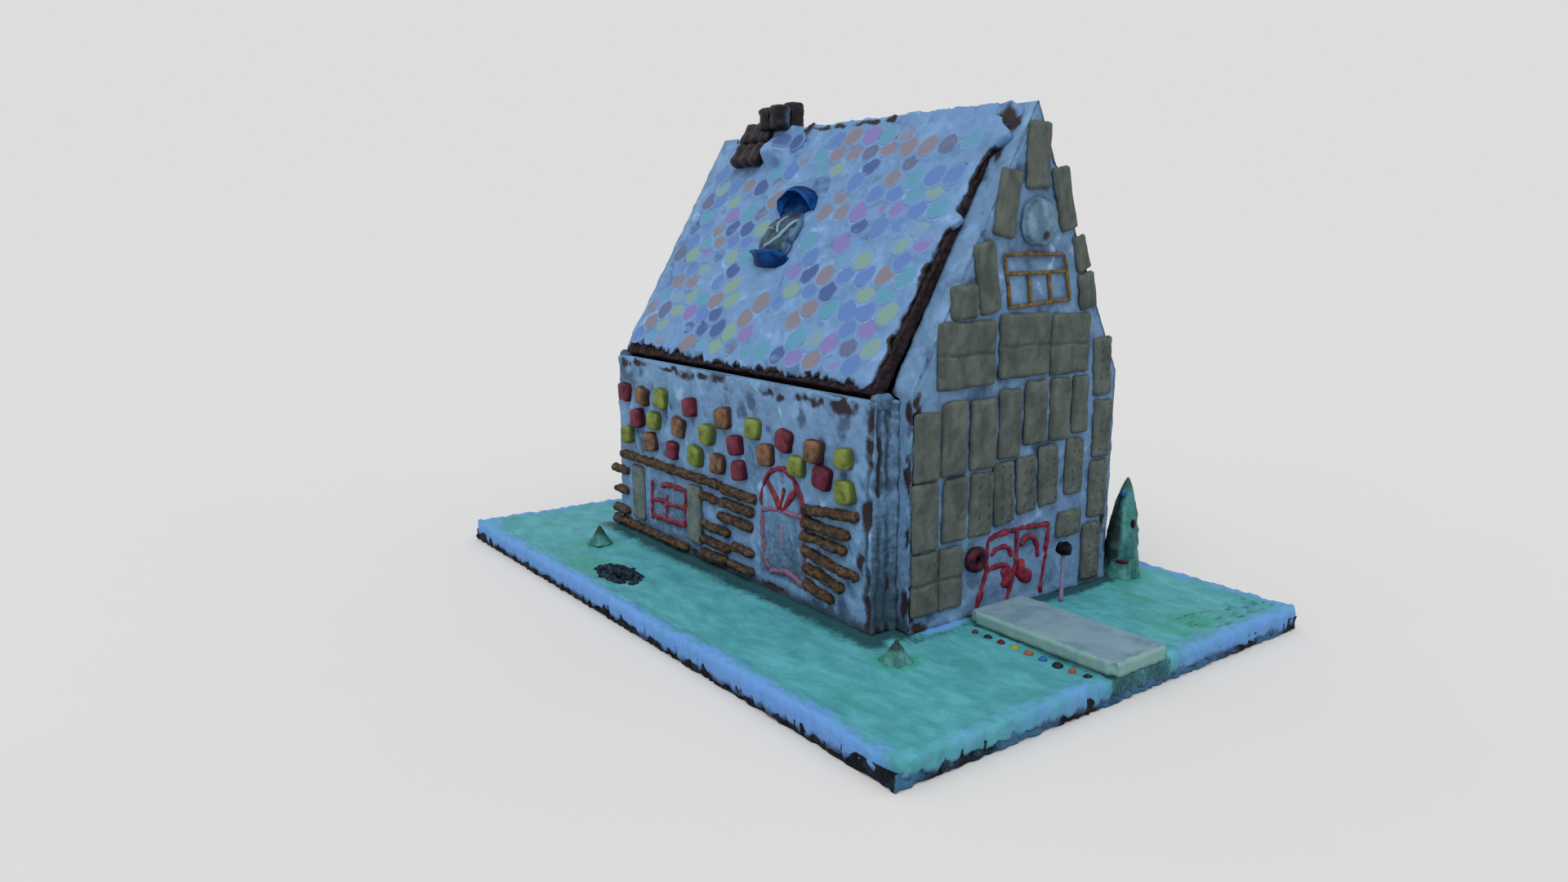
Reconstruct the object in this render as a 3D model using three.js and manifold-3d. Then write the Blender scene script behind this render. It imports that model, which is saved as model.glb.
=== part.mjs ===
// An iced gingerbread house on its board, in millimetres, +Z up.
// The origin is the middle of the board's underside; the door gable faces -Y.
import * as THREE from "three";
import { mergeVertices } from "three/addons/utils/BufferGeometryUtils.js";
import Module from "manifold-3d";

const wasm = await Module();
wasm.setup();

// ---- driving dimensions -------------------------------------------------
const GAP = 0.3; // clearance between neighbouring pieces

const BOARD = { width: 506, length: 752, thick: 13 };
const LAWN = { width: 511, length: 757, thick: 8 }; // green icing over the board
const GROUND = BOARD.thick + LAWN.thick; // height of the lawn's level top

const HOUSE_X = 47; // house centre line, right of the board's middle
const ICING = 6; // coat of royal icing on the walls
const BREAD = 12; // gingerbread panel

// Below, x is measured from the house's centre line and z from the lawn.
const GABLE = { half: 135, shoulder: 212, apex: 457, lean: 5, front: -211 };
const WALL = { half: 161.5, top: 205.5, front: -188.8 };
const EAVE = { x: 158.5, z: 212.5 };
const RIDGE_Z = 456;
const ROOF = { front: -182.2, back: 252.4, icing: 5, bread: 12 };
const MIDDLE_Y = (ROOF.front + ROOF.back) / 2; // front and back gables mirror here

const CRACKER = { thick: 5.5, corner: 2.5 };
const WAFER = { radius: 12.6, thick: 3.4, sides: 6, pitch: 27, row: 17.8, tilt: 0.11 };
const SWEET = { wide: 24, tall: 23, deep: 8, edge: 3 };
const ROD_RADIUS = 5.5;
const PIPED = { width: 4, proud: 1.4 };
const STICK = { wide: 17.5, thick: 14 };

const SLOPE = Math.hypot(EAVE.x, RIDGE_Z - EAVE.z);
const SIN = (RIDGE_Z - EAVE.z) / SLOPE;
const COS = EAVE.x / SLOPE;

// ---- small tools --------------------------------------------------------
// The geometry with shared corners merged and nothing but positions left.
function bare(geometry) {
  const copy = geometry.clone();
  copy.deleteAttribute("normal");
  copy.deleteAttribute("uv");
  return mergeVertices(copy, 1e-4);
}

function solid(geometry) {
  const merged = bare(geometry);
  return new wasm.Manifold(new wasm.Mesh({
    numProp: 3,
    vertProperties: new Float32Array(merged.attributes.position.array),
    triVerts: new Uint32Array(merged.index.array),
  }));
}

function join(geometries) {
  return geometries.map(solid).reduce((whole, piece) => whole.add(piece));
}

function geometryOf(manifold) {
  const mesh = manifold.getMesh();
  const geometry = new THREE.BufferGeometry();
  geometry.setAttribute("position", new THREE.BufferAttribute(mesh.vertProperties, 3));
  geometry.setIndex(new THREE.BufferAttribute(mesh.triVerts, 1));
  return geometry;
}

// A turned shape about the y axis from pairs of radius and height.
function lathe(profile, sides) {
  return new THREE.LatheGeometry(profile.map(([r, h]) => new THREE.Vector2(r, h)), sides);
}

function flipped(geometry, matrix) {
  const copy = bare(geometry);
  copy.applyMatrix4(matrix);
  const index = copy.index.array;
  for (let i = 0; i < index.length; i += 3) {
    [index[i], index[i + 1]] = [index[i + 1], index[i]];
  }
  return copy;
}

const mirrorX = (geometry) => flipped(geometry, new THREE.Matrix4().makeScale(-1, 1, 1));

function mirrorY(geometry) {
  const matrix = new THREE.Matrix4().makeTranslation(0, 2 * MIDDLE_Y, 0);
  return flipped(geometry, matrix.multiply(new THREE.Matrix4().makeScale(1, -1, 1)));
}

// Repeatable random numbers from 0 to 1.
function seeded(seed) {
  let state = seed;
  return () => {
    state = (state * 48271) % 2147483647;
    return state / 2147483647;
  };
}

function block([x0, x1], [y0, y1], [z0, z1]) {
  const box = new THREE.BoxGeometry(x1 - x0, y1 - y0, z1 - z0);
  box.translate((x0 + x1) / 2, (y0 + y1) / 2, (z0 + z1) / 2);
  return box;
}

function outline(points) {
  return new THREE.Shape(points.map(([a, b]) => new THREE.Vector2(a, b)));
}

function extrude(points, depth) {
  return new THREE.ExtrudeGeometry(outline(points), { depth, bevelEnabled: false });
}

// An outline in x and z, drawn along y from y0 to y1.
function alongY(points, y0, y1) {
  const prism = extrude(points, y1 - y0);
  prism.rotateX(Math.PI / 2);
  prism.translate(0, y1, 0);
  return prism;
}

function alongZ(points, z0, z1) {
  const prism = extrude(points, z1 - z0);
  prism.translate(0, 0, z0);
  return prism;
}

// A rectangle with cut corners, about its own middle.
function slabOutline(wide, tall, corner) {
  const a = wide / 2;
  const b = tall / 2;
  const k = corner;
  return [[-a + k, -b], [a - k, -b], [a, -b + k], [a, b - k],
    [a - k, b], [-a + k, b], [-a, b - k], [-a, -b + k]];
}

// A piped line on a flat face: a low bar from one point to the next.
function piped(points, width = PIPED.width, proud = PIPED.proud) {
  const bars = [];
  for (let i = 1; i < points.length; i += 1) {
    const [from, to] = [points[i - 1], points[i]];
    const length = Math.hypot(to[0] - from[0], to[1] - from[1]) + width * 0.8;
    const bar = new THREE.BoxGeometry(length, width, proud + 2);
    bar.rotateZ(Math.atan2(to[1] - from[1], to[0] - from[0]));
    bar.translate((from[0] + to[0]) / 2, (from[1] + to[1]) / 2, (proud - 2) / 2);
    bars.push(bar);
  }
  return bars;
}

// Frames of the faces that carry toppings: first axis along, second up, third out.
const GABLE_FACE = new THREE.Matrix4().set(
  1, 0, 0, 0,
  0, 0, -1, GABLE.front,
  0, 1, 0, 0,
  0, 0, 0, 1,
);
const SIDE_FACE = new THREE.Matrix4().set(
  0, 0, -1, -WALL.half,
  -1, 0, 0, 0,
  0, 1, 0, 0,
  0, 0, 0, 1,
);
const ROOF_FACE = new THREE.Matrix4().set(
  0, COS, -SIN, -EAVE.x,
  -1, 0, 0, 0,
  0, SIN, COS, EAVE.z,
  0, 0, 0, 1,
);

function onto(face, geometries) {
  return geometries.map((geometry) => geometry.clone().applyMatrix4(face));
}

const roofPoint = (up, out) => [-EAVE.x + up * COS - out * SIN, EAVE.z + up * SIN + out * COS];
const upAtMiddle = (out) => (EAVE.x - GAP + out * SIN) / COS;

// ---- materials and the model -------------------------------------------
const FINISH = {
  board: [0x1c2326, 0.7],
  lawn: [0x4a9f9c, 0.55],
  icing: [0x7b9cc0, 0.5],
  bread: [0x2e2326, 0.85],
  cracker: [0x6b705f, 0.85],
  chocolate: [0x2b2426, 0.5],
  blue: [0x06366e, 0.35],
  clear: [0x7b8c93, 0.2],
  red: [0x5c1822, 0.4],
  black: [0x0b1218, 0.5],
  pretzel: [0x6b4c2c, 0.6],
  path: [0x8fa0a8, 0.8],
  green: [0x2f8a78, 0.6],
};

const part = new THREE.Group();
const house = new THREE.Group();
house.position.set(HOUSE_X, 0, GROUND);
part.add(house);

function add(group, name, geometry, finish) {
  const [color, roughness] = FINISH[finish];
  const material = new THREE.MeshStandardMaterial({ color, roughness, metalness: 0 });
  const mesh = new THREE.Mesh(geometry, material);
  mesh.name = name;
  group.add(mesh);
  return mesh;
}

// ---- board and lawn -----------------------------------------------------
add(part, "board", block(
  [-BOARD.width / 2, BOARD.width / 2],
  [-BOARD.length / 2, BOARD.length / 2],
  [0, BOARD.thick],
), "board");

const PATH = { x: [-69.5, 0], y: [-377, -220], thick: 13 };
const PEBBLE = { size: 9.5, first: -241, pitch: 15.1, count: 9, beside: 14 };
// A plant's bulge is how far up it stays wide, and blunt how round its tip is.
const TREE = { x: 156.4, y: -214.5, radius: 18, height: 102, bulge: 2.3, blunt: 0.75 };
const SHRUBS = [
  { name: "shrub_back", x: -220, y: 206, radius: 12.5, height: 21, bulge: 1, blunt: 0.9 },
  { name: "shrub_front", x: -182, y: -247, radius: 12, height: 19, bulge: 1, blunt: 0.9 },
];
const LAMP = { x: 41.5, y: -233, height: 60, radius: 2.2, head: 13 };
const COAL = { x: -258, y: 90, wide: 40, long: 80 };

// Low swells in the icing, and a puffed rim where it was spread to the edge.
function lawnHeight(x, y) {
  const swell = 0.8 * Math.sin(x / 37 + 1.2) * Math.sin(y / 43) + 0.5 * Math.sin(x / 19 + y / 27);
  const toEdge = Math.min(LAWN.width / 2 - Math.abs(x), LAWN.length / 2 - Math.abs(y));
  const rim = toEdge < 30 ? 2.2 * Math.exp(-(((toEdge - 8) / 11) ** 2)) : 0;
  return swell + rim;
}

// A grid of icing with a level underside and a scalloped outline.
function lawnGeometry(columns, rows) {
  const positions = [];
  const index = [];
  const at = (i, j) => j * (columns + 1) + i;
  for (let j = 0; j <= rows; j += 1) {
    for (let i = 0; i <= columns; i += 1) {
      const u = (i / columns) * 2 - 1;
      const v = (j / rows) * 2 - 1;
      const cornerCut = Math.max(0, Math.abs(u) + Math.abs(v) - 1.86) * 0.35;
      const scallop = 1.3 * Math.sin(i * 2.3 + j * 1.7) ** 2;
      const x = u * (LAWN.width / 2 - Math.abs(u) ** 8 * (scallop + 60 * cornerCut));
      const y = v * (LAWN.length / 2 - Math.abs(v) ** 8 * (scallop + 60 * cornerCut));
      positions.push(x, y, LAWN.thick + lawnHeight(x, y));
    }
  }
  for (let j = 0; j < rows; j += 1) {
    for (let i = 0; i < columns; i += 1) {
      index.push(at(i, j), at(i + 1, j), at(i + 1, j + 1));
      index.push(at(i, j), at(i + 1, j + 1), at(i, j + 1));
    }
  }
  const border = [];
  for (let i = 0; i < columns; i += 1) border.push(at(i, 0));
  for (let j = 0; j < rows; j += 1) border.push(at(columns, j));
  for (let i = columns; i > 0; i -= 1) border.push(at(i, rows));
  for (let j = rows; j > 0; j -= 1) border.push(at(0, j));
  const below = positions.length / 3;
  const contour = border.map((k) => new THREE.Vector2(positions[3 * k], positions[3 * k + 1]));
  contour.forEach((point) => positions.push(point.x, point.y, 0));
  border.forEach((k, n) => {
    const next = (n + 1) % border.length;
    index.push(k, below + n, border[next]);
    index.push(border[next], below + n, below + next);
  });
  THREE.ShapeUtils.triangulateShape(contour, []).forEach(([a, b, c]) => {
    index.push(below + a, below + c, below + b);
  });
  const geometry = new THREE.BufferGeometry();
  geometry.setAttribute("position", new THREE.Float32BufferAttribute(positions, 3));
  geometry.setIndex(index);
  geometry.translate(0, 0, BOARD.thick + GAP);
  return geometry;
}

function lawn() {
  const depth = [GROUND, GROUND + 20];
  const footprint = block(
    [HOUSE_X - WALL.half - 1, HOUSE_X + WALL.half + 1],
    [WALL.front - 6, 2 * MIDDLE_Y - WALL.front + 6],
    depth,
  );
  const gables = block(
    [HOUSE_X - GABLE.half - 3, HOUSE_X + GABLE.half + 3],
    [GABLE.front - 9, 2 * MIDDLE_Y - GABLE.front + 9],
    depth,
  );
  const path = block(
    [HOUSE_X + PATH.x[0] - 1, HOUSE_X + PATH.x[1] + 1],
    [-LAWN.length, PATH.y[1] + 4],
    depth,
  );
  let whole = solid(lawnGeometry(12, 18));
  [footprint, gables, path].forEach((pocket) => {
    whole = whole.subtract(solid(pocket));
  });
  [TREE, LAMP, ...SHRUBS].forEach((plant) => {
    const pocket = new THREE.CylinderGeometry(plant.radius + 1, plant.radius + 1, 20, 12);
    pocket.rotateX(Math.PI / 2);
    pocket.translate(HOUSE_X + plant.x, plant.y, GROUND + 10);
    whole = whole.subtract(solid(pocket));
  });
  whole = whole.subtract(solid(block(
    [HOUSE_X + COAL.x - COAL.wide / 2, HOUSE_X + COAL.x + COAL.wide / 2],
    [COAL.y - COAL.long / 2, COAL.y + COAL.long / 2],
    depth,
  )));
  for (let n = 0; n < PEBBLE.count; n += 1) {
    [PATH.x[0] - PEBBLE.beside, PATH.x[1] + PEBBLE.beside].forEach((x) => {
      const pebble = new THREE.CylinderGeometry(PEBBLE.size * 0.25, PEBBLE.size / 2, 6, 5);
      pebble.rotateX(Math.PI / 2);
      pebble.translate(HOUSE_X + x, PEBBLE.first - n * PEBBLE.pitch, GROUND + 1.5);
      whole = whole.add(solid(pebble));
    });
  }
  return geometryOf(whole);
}
add(part, "ground_icing", lawn(), "lawn");

// ---- walls and gables ---------------------------------------------------
function gableOutline(inset) {
  const rise = (GABLE.apex - GABLE.shoulder) / GABLE.half;
  const half = GABLE.half - inset;
  const drop = inset * Math.hypot(1, rise) - inset * rise;
  return [[-half, GAP], [half, GAP], [half, GABLE.shoulder - drop],
    [GABLE.lean, GABLE.apex - inset * Math.hypot(1, rise)], [-half, GABLE.shoulder - drop]];
}

// The gable's slope above the side walls, which reaches back to the roof.
function gableCrown() {
  const low = GABLE.shoulder - 5;
  return [[-GABLE.half, low], [GABLE.half, low], [GABLE.half, GABLE.shoulder],
    [GABLE.lean, GABLE.apex], [-GABLE.half, GABLE.shoulder]];
}

const gableBack = GABLE.front + ICING + BREAD;
const gableBread = alongY(gableOutline(ICING + GAP), GABLE.front + ICING + GAP, gableBack);
const gablePocket = alongY(gableOutline(ICING), GABLE.front + ICING, ROOF.front + 1);

function gableCoat(toppings) {
  const shell = solid(alongY(gableOutline(0), GABLE.front, gableBack))
    .add(solid(alongY(gableCrown(), gableBack - 1, ROOF.front - GAP)))
    .subtract(solid(gablePocket));
  return geometryOf(toppings.reduce((whole, topping) => whole.add(solid(topping)), shell));
}

// Red lines piped on the front: the door's frame, its middle and its curls.
const DOOR_LINES = [
  [[-39, 71], [-41, 37], [-51, 6]],
  [[-38, 70], [0, 74], [46, 71]],
  [[45, 70], [36, 4]],
  [[0, 74], [0, 40], [-12, 5]],
  [[-35, 54], [-19, 60], [-6, 48]],
  [[-42, 39], [-23, 42], [-6, 35]],
  [[6, 56], [17, 64], [29, 54], [31, 41]],
];
const WREATH = [[-11.5, 30], [11.5, 29]];

function doorToppings() {
  const lines = DOOR_LINES.flatMap((points) => piped(points));
  WREATH.forEach(([x, z]) => {
    const blob = new THREE.CylinderGeometry(7, 10, 5, 7);
    blob.rotateX(Math.PI / 2);
    blob.translate(x, z, 1.5);
    lines.push(blob);
  });
  return onto(GABLE_FACE, lines);
}

// The back gable is clad like the front, in upright courses of crackers.
const BACK_COURSES = [
  { z: 38, tall: 62, count: 8 },
  { z: 104, tall: 62, count: 8 },
  { z: 170, tall: 62, count: 8 },
  { z: 228, tall: 28, count: 3 },
  { z: 258, tall: 28, count: 3 },
  { z: 306, tall: 60, count: 4 },
  { z: 370, tall: 60, count: 2 },
];

function backToppings() {
  const crackers = [];
  BACK_COURSES.forEach(({ z, tall, count }) => {
    const room = Math.min(GABLE.half, (GABLE.apex - z - tall / 2) * GABLE.half
      / (GABLE.apex - GABLE.shoulder));
    const pitch = (2 * room) / count;
    for (let n = 0; n < count; n += 1) {
      const x = (n - (count - 1) / 2) * pitch;
      const cracker = new THREE.BoxGeometry(pitch - 3, tall, CRACKER.thick * 2);
      cracker.translate(x, z + 2 * Math.sin(n * 2.1), 0);
      crackers.push(cracker);
    }
  });
  return onto(GABLE_FACE, crackers);
}

add(house, "wall_front", gableBread, "bread");
add(house, "wall_back", mirrorY(gableBread), "bread");
add(house, "icing_front", gableCoat(doorToppings()), "icing");
add(house, "icing_back", mirrorY(gableCoat(backToppings())), "icing");

// ---- side walls ---------------------------------------------------------
const wallEnd = gableBack + GAP;
const wallFar = 2 * MIDDLE_Y - wallEnd;
const sideBread = block(
  [-WALL.half + ICING + GAP, -WALL.half + ICING + GAP + BREAD],
  [wallEnd + ICING + GAP, wallFar - ICING - GAP],
  [GAP, EAVE.z - 11],
);

// Plan of the coat: a skin outside the panel, and ribs of icing round its two ends.
function sideCoatOutline() {
  const outer = -WALL.half;
  const skin = outer + ICING;
  const inner = outer + 26;
  const end = wallEnd;
  const corner = [[inner, end + ICING], [inner, end + 1.5], [outer + 19, end], [outer + 16, end + 3],
    [outer + 12, end + 0.5], [outer + 8, end + 3], [outer + 3, end + 0.5], [outer, end + 4]];
  const far = corner.map(([x, y]) => [x, 2 * MIDDLE_Y - y]).reverse();
  return [...corner, ...far, [skin, wallFar - ICING], [skin, end + ICING]];
}

// Places on the side walls: how far along (towards the front) and how high.
const SWEET_ROWS = [
  [[-241, 164], [-199, 164], [-159, 166], [-99, 164], [-34, 161], [18, 158], [69, 154],
    [114, 151], [156, 151]],
  [[-213, 137], [-175, 139], [-122, 139], [-64, 140], [-12, 137], [39, 135], [89, 133], [127, 129]],
  [[-236, 115], [-183, 114], [-135, 112], [-87, 114], [-45, 112], [-7, 112], [158, 122]],
];
const RODS = [
  [-253, -40, 90, 90], [-37, 21, 88, 87],
  [-274, -239, 70, 70], [-268, -241, 46, 45], [-272, -239, 22, 21],
  [-274, -216, 8, 8], [-221, -106, 8, 8],
  [-78, -48, 73, 72], [-42, 17, 74, 73], [-45, 15, 58, 57], [-78, -25, 43, 42],
  [-78, -25, 26, 25], [-78, -29, 11, 12], [-21, 17, 31, 30], [-27, 17, 12, 12],
  [98, 175, 94, 102], [98, 164, 83, 83], [95, 160, 69, 68], [97, 176, 56, 48],
  [100, 156, 40, 32], [100, 143, 25, 18],
];
const WINDOW = { left: -187, right: -114, low: 27, high: 70 };
const SIDE_DOOR = { middle: 62, half: 34, spring: 84, rise: 42, low: 19 };
const SHUTTERS = [[-229, -203], [-106, -80]];
const SHUTTER = { low: 17, high: 81, thick: 5 };

function windowLines() {
  const { left, right, low, high } = WINDOW;
  const middle = (left + right) / 2;
  return [
    [[left, low], [left, high]], [[right, low], [right, high]], [[left + 16, high], [right, high]],
    [[left, 48], [right, 48]], [[left, low], [right, low]], [[middle - 3, low], [middle - 3, 58]],
  ];
}

function sideDoorLines() {
  const { middle, half, spring, rise, low } = SIDE_DOOR;
  const arch = [];
  for (let n = 0; n <= 6; n += 1) {
    const angle = (Math.PI * n) / 6;
    arch.push([middle - half * Math.cos(angle), spring + rise * Math.sin(angle)]);
  }
  const spokes = [-1, 0, 1].map((way) => [[middle, spring + 2], [middle + 26 * way, spring + 30]]);
  return [
    arch, ...spokes, [[middle - half, spring - 2], [middle + half, spring - 2]],
    [[middle, spring - 4], [middle, low]], [[middle - half, spring - 4], [middle - half, low]],
    [[middle + half, spring - 4], [middle + half + 2, low - 5]],
    [[middle - half, low], [middle + half, low]],
  ];
}

function sweet() {
  const low = new THREE.CylinderGeometry(
    (SWEET.wide - 2 * SWEET.edge) / Math.SQRT2,
    SWEET.wide / Math.SQRT2,
    SWEET.deep + 2,
    4,
  );
  low.rotateY(Math.PI / 4);
  low.rotateX(Math.PI / 2);
  low.scale(1, SWEET.tall / SWEET.wide, 1);
  low.translate(0, 0, (SWEET.deep - 2) / 2);
  return low;
}

function sideToppings() {
  const pieces = [];
  SWEET_ROWS.flat().forEach(([along, z]) => {
    pieces.push(sweet().translate(along, z, 0));
  });
  RODS.forEach(([from, to, z0, z1]) => {
    const rod = new THREE.CylinderGeometry(ROD_RADIUS, ROD_RADIUS, Math.hypot(to - from, z1 - z0), 6);
    rod.rotateZ(Math.PI / 2 + Math.atan2(z1 - z0, to - from));
    rod.translate((from + to) / 2, (z0 + z1) / 2, 2.5);
    pieces.push(rod);
  });
  [...windowLines(), ...sideDoorLines()].forEach((line) => pieces.push(...piped(line, 3.6, 1.2)));
  return onto(SIDE_FACE, pieces);
}

function shutter([from, to]) {
  const tall = SHUTTER.high - SHUTTER.low;
  const panel = extrude(slabOutline(to - from, tall, CRACKER.corner), SHUTTER.thick);
  panel.translate((from + to) / 2, (SHUTTER.low + SHUTTER.high) / 2, GAP);
  return onto(SIDE_FACE, [panel])[0];
}

const plainCoat = alongZ(sideCoatOutline(), GAP, WALL.top);
const leftCoat = geometryOf(join([plainCoat, ...sideToppings()]));
const fixedShutters = SHUTTERS.map((span) => shutter(span).translate(1, 0, 0));
const rightCoat = mirrorX(geometryOf(join([plainCoat, ...sideToppings(), ...fixedShutters])));

add(house, "wall_left", sideBread, "bread");
add(house, "wall_right", mirrorX(sideBread), "bread");
add(house, "icing_left", leftCoat, "icing");
add(house, "icing_right", rightCoat, "icing");
add(house, "shutter_back", shutter(SHUTTERS[0]), "cracker");
add(house, "shutter_front", shutter(SHUTTERS[1]), "cracker");

// ---- roof ---------------------------------------------------------------
const CHIMNEY = { y: 158, square: 39, top: 489, seat: 3, foot: { from: -214, up: 244, tier: 27 } };
const SKYLIGHT = { along: -50, cup: 27, flat: 0.75, wall: 2 };
const BOAT = { up: 113, depth: 15, lean: 0.2 };
const HOOD = { up: 208, depth: 26, lean: 0.4 };
const PANE = { from: 119, to: 188, end: 14.5, half: 24.5, shoulder: 22, flat: 0.58 };

const breadOut = -ROOF.icing - GAP;
const roofBread = alongY([
  roofPoint(0, breadOut), roofPoint(0, breadOut - ROOF.bread),
  roofPoint(upAtMiddle(breadOut - ROOF.bread), breadOut - ROOF.bread),
  roofPoint(upAtMiddle(breadOut), breadOut),
], ROOF.front, ROOF.back);

// The icing stops short of the eave and the front rake in a ragged line.
function roofIcingOutline(top) {
  const edge = [];
  const steps = 22;
  const [back, front] = [-ROOF.back + 1, -ROOF.front - 6];
  for (let n = 0; n <= steps; n += 1) {
    const along = back + ((front - back) * n) / steps;
    edge.push([along, 10 + 3 * Math.sin(n * 2.4) + 1.5 * Math.sin(n * 5.1)]);
  }
  for (let n = 1; n <= 12; n += 1) {
    edge.push([front + 3 * Math.sin(n * 2.9), 12 + ((top - 12) * n) / 12]);
  }
  edge.push([back, top]);
  return edge;
}

const nearFitting = (along, up) => {
  const chimney = Math.abs(along + 178) < 50 && up > CHIMNEY.foot.up - 23;
  const skylight = Math.abs(along - SKYLIGHT.along) < 42 && up > 90 && up < 225;
  return chimney || skylight;
};

// Staggered rows of round wafers, some of them buried under icing.
function wafers(seed, clear) {
  const random = seeded(seed);
  const pieces = [];
  for (let row = 0; row < 15; row += 1) {
    const up = 22 + row * WAFER.row;
    for (let column = 0; column < 16; column += 1) {
      const shift = (row % 2) * 0.5 * WAFER.pitch;
      const along = -ROOF.back + 19 + column * WAFER.pitch + shift + 4 * (random() - 0.5);
      const place = up + 3 * (random() - 0.5);
      const buried = random() > 0.32;
      if (buried || along > -ROOF.front - 22 || !clear(along, place)) continue;
      const wafer = new THREE.CylinderGeometry(WAFER.radius, WAFER.radius, WAFER.thick, WAFER.sides);
      wafer.rotateX(Math.PI / 2 - WAFER.tilt);
      wafer.translate(along, place, 0.2);
      pieces.push(wafer);
    }
  }
  return pieces;
}

// A rounded cap of icing along the ridge, made in one with the left slope.
const CAP = { reach: 17, out: 0.4, crown: 2.5, half: 5 };

function ridgeCap() {
  const edge = roofPoint(SLOPE - CAP.reach, CAP.out);
  const low = roofPoint(SLOPE - CAP.reach, -3);
  return alongY([
    edge, low, [0, RIDGE_Z - 4], [-low[0], low[1]], [-edge[0], edge[1]], [CAP.half, RIDGE_Z + 0.5],
    [0, RIDGE_Z + CAP.crown], [-CAP.half, RIDGE_Z + 0.5],
  ], ROOF.front + 1, ROOF.back - 1);
}

function roofCoat(seed, top, clear) {
  const sheet = extrude(roofIcingOutline(top), ROOF.icing);
  sheet.translate(0, 0, -ROOF.icing);
  return onto(ROOF_FACE, [sheet, ...wafers(seed, clear)]);
}

// Icing built up beside the ridge to carry the chimney's upright sticks.
function chimneySeat() {
  const reach = CHIMNEY.square / 2 + 1;
  const up = (EAVE.x - reach) / COS;
  const back = -CHIMNEY.foot.from - 3 * STICK.wide - 1;
  const top = RIDGE_Z + CHIMNEY.seat - GAP;
  return alongY(
    [roofPoint(up, -1), roofPoint(SLOPE - 2, -3), [0, top], [-reach, top]],
    CHIMNEY.y - reach,
    back,
  );
}

const rightTop = SLOPE - CAP.reach - 2 * GAP;
const leftSlope = roofCoat(41, SLOPE - CAP.reach + 1, (along, up) => !nearFitting(along, up));
const rightSlope = roofCoat(97, rightTop, (along, up) => {
  const besideStack = Math.abs(along + CHIMNEY.y) < 34 && up > SLOPE - 60;
  return up < rightTop - WAFER.radius - 1 && !besideStack;
});

add(house, "roof_left", roofBread, "bread");
add(house, "roof_right", mirrorX(roofBread), "bread");
add(house, "roof_icing_left", geometryOf(join([...leftSlope, ridgeCap(), chimneySeat()])), "icing");
add(house, "roof_icing_right", mirrorX(geometryOf(join(rightSlope))), "icing");

// ---- chimney of chocolate sticks ---------------------------------------
function stick(length, wide = STICK.wide, thick = STICK.thick) {
  return extrude(slabOutline(wide + 0.6, thick, 3), length);
}

function chimney() {
  const quarter = CHIMNEY.square / 4;
  const upright = [[-1, -1], [1, -1], [-1, 1], [1, 1]].map(([i, j]) => {
    const bottom = i < 0 ? RIDGE_Z + CHIMNEY.seat : RIDGE_Z - CHIMNEY.square;
    const top = CHIMNEY.top - 4 * (i < 0) - 1.5 * (j > 0);
    const bar = stick(top - bottom, 2 * quarter, 2 * quarter + 0.6);
    bar.translate(i * quarter, CHIMNEY.y + j * quarter, bottom);
    return bar;
  });
  const lying = [];
  for (let tier = 0; tier < 2; tier += 1) {
    for (let n = 0; n < 3; n += 1) {
      const bar = stick(CHIMNEY.foot.tier + 0.6);
      bar.rotateX(-Math.PI / 2);
      bar.translate(
        CHIMNEY.foot.from + (n + 0.5) * STICK.wide,
        CHIMNEY.foot.up + tier * CHIMNEY.foot.tier,
        STICK.thick / 2 + GAP + 1.2 * tier,
      );
      lying.push(bar);
    }
  }
  const slope = [roofPoint(0, GAP), roofPoint(SLOPE - CAP.reach - 1, GAP),
    roofPoint(SLOPE - CAP.reach - 0.4, CAP.out + GAP), [-CAP.half - 0.2, RIDGE_Z + 0.9]];
  const farSlope = slope.map(([x, z]) => [-x, z]).reverse();
  const crown = [0, RIDGE_Z + CAP.crown + 0.4];
  const clearance = alongY([...slope, crown, ...farSlope], ROOF.front, ROOF.back);
  return geometryOf(join([...upright, ...onto(ROOF_FACE, lying)]).subtract(solid(clearance)));
}
add(house, "chimney", chimney(), "chocolate");

// ---- skylight: a clear wrapped sweet between two blue cups ---------------
const aboveRoof = block([-900, 900], [-900, 900], [GAP, 200]);

function skylightPiece(geometry, up) {
  geometry.translate(SKYLIGHT.along, up, 0);
  const cut = geometryOf(solid(geometry).intersect(solid(aboveRoof)));
  return onto(ROOF_FACE, [cut])[0];
}

// Half of a cup on the roof. Its mouth leans back, so that it is longest at its foot.
function cup({ up, depth, lean }, mouthUp) {
  const { cup: radius, wall } = SKYLIGHT;
  const shell = lathe([[0, 0], [radius * 0.55, depth * 0.12], [radius * 0.9, depth * 0.45],
    [radius, depth], [radius - wall, depth], [radius * 0.9 - wall, depth * 0.48],
    [radius * 0.5, depth * 0.12 + wall], [0, wall * 1.2]], 12);
  if (!mouthUp) shell.rotateX(Math.PI);
  const spots = shell.attributes.position;
  for (let n = 0; n < spots.count; n += 1) {
    spots.setY(n, spots.getY(n) * (1 - (lean * spots.getZ(n)) / radius));
  }
  shell.scale(1, 1, SKYLIGHT.flat);
  return skylightPiece(shell, up);
}

function pane() {
  const { from, to, end, half, shoulder, flat } = PANE;
  const sweet = lathe(
    [[0, from], [end, from], [half, from + shoulder], [half, to - shoulder], [end, to], [0, to]], 12);
  sweet.scale(1, 1, flat);
  return skylightPiece(sweet, 0);
}

add(house, "skylight_boat", cup(BOAT, true), "blue");
add(house, "skylight_hood", cup(HOOD, false), "blue");
add(house, "skylight_pane", pane(), "clear");

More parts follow.
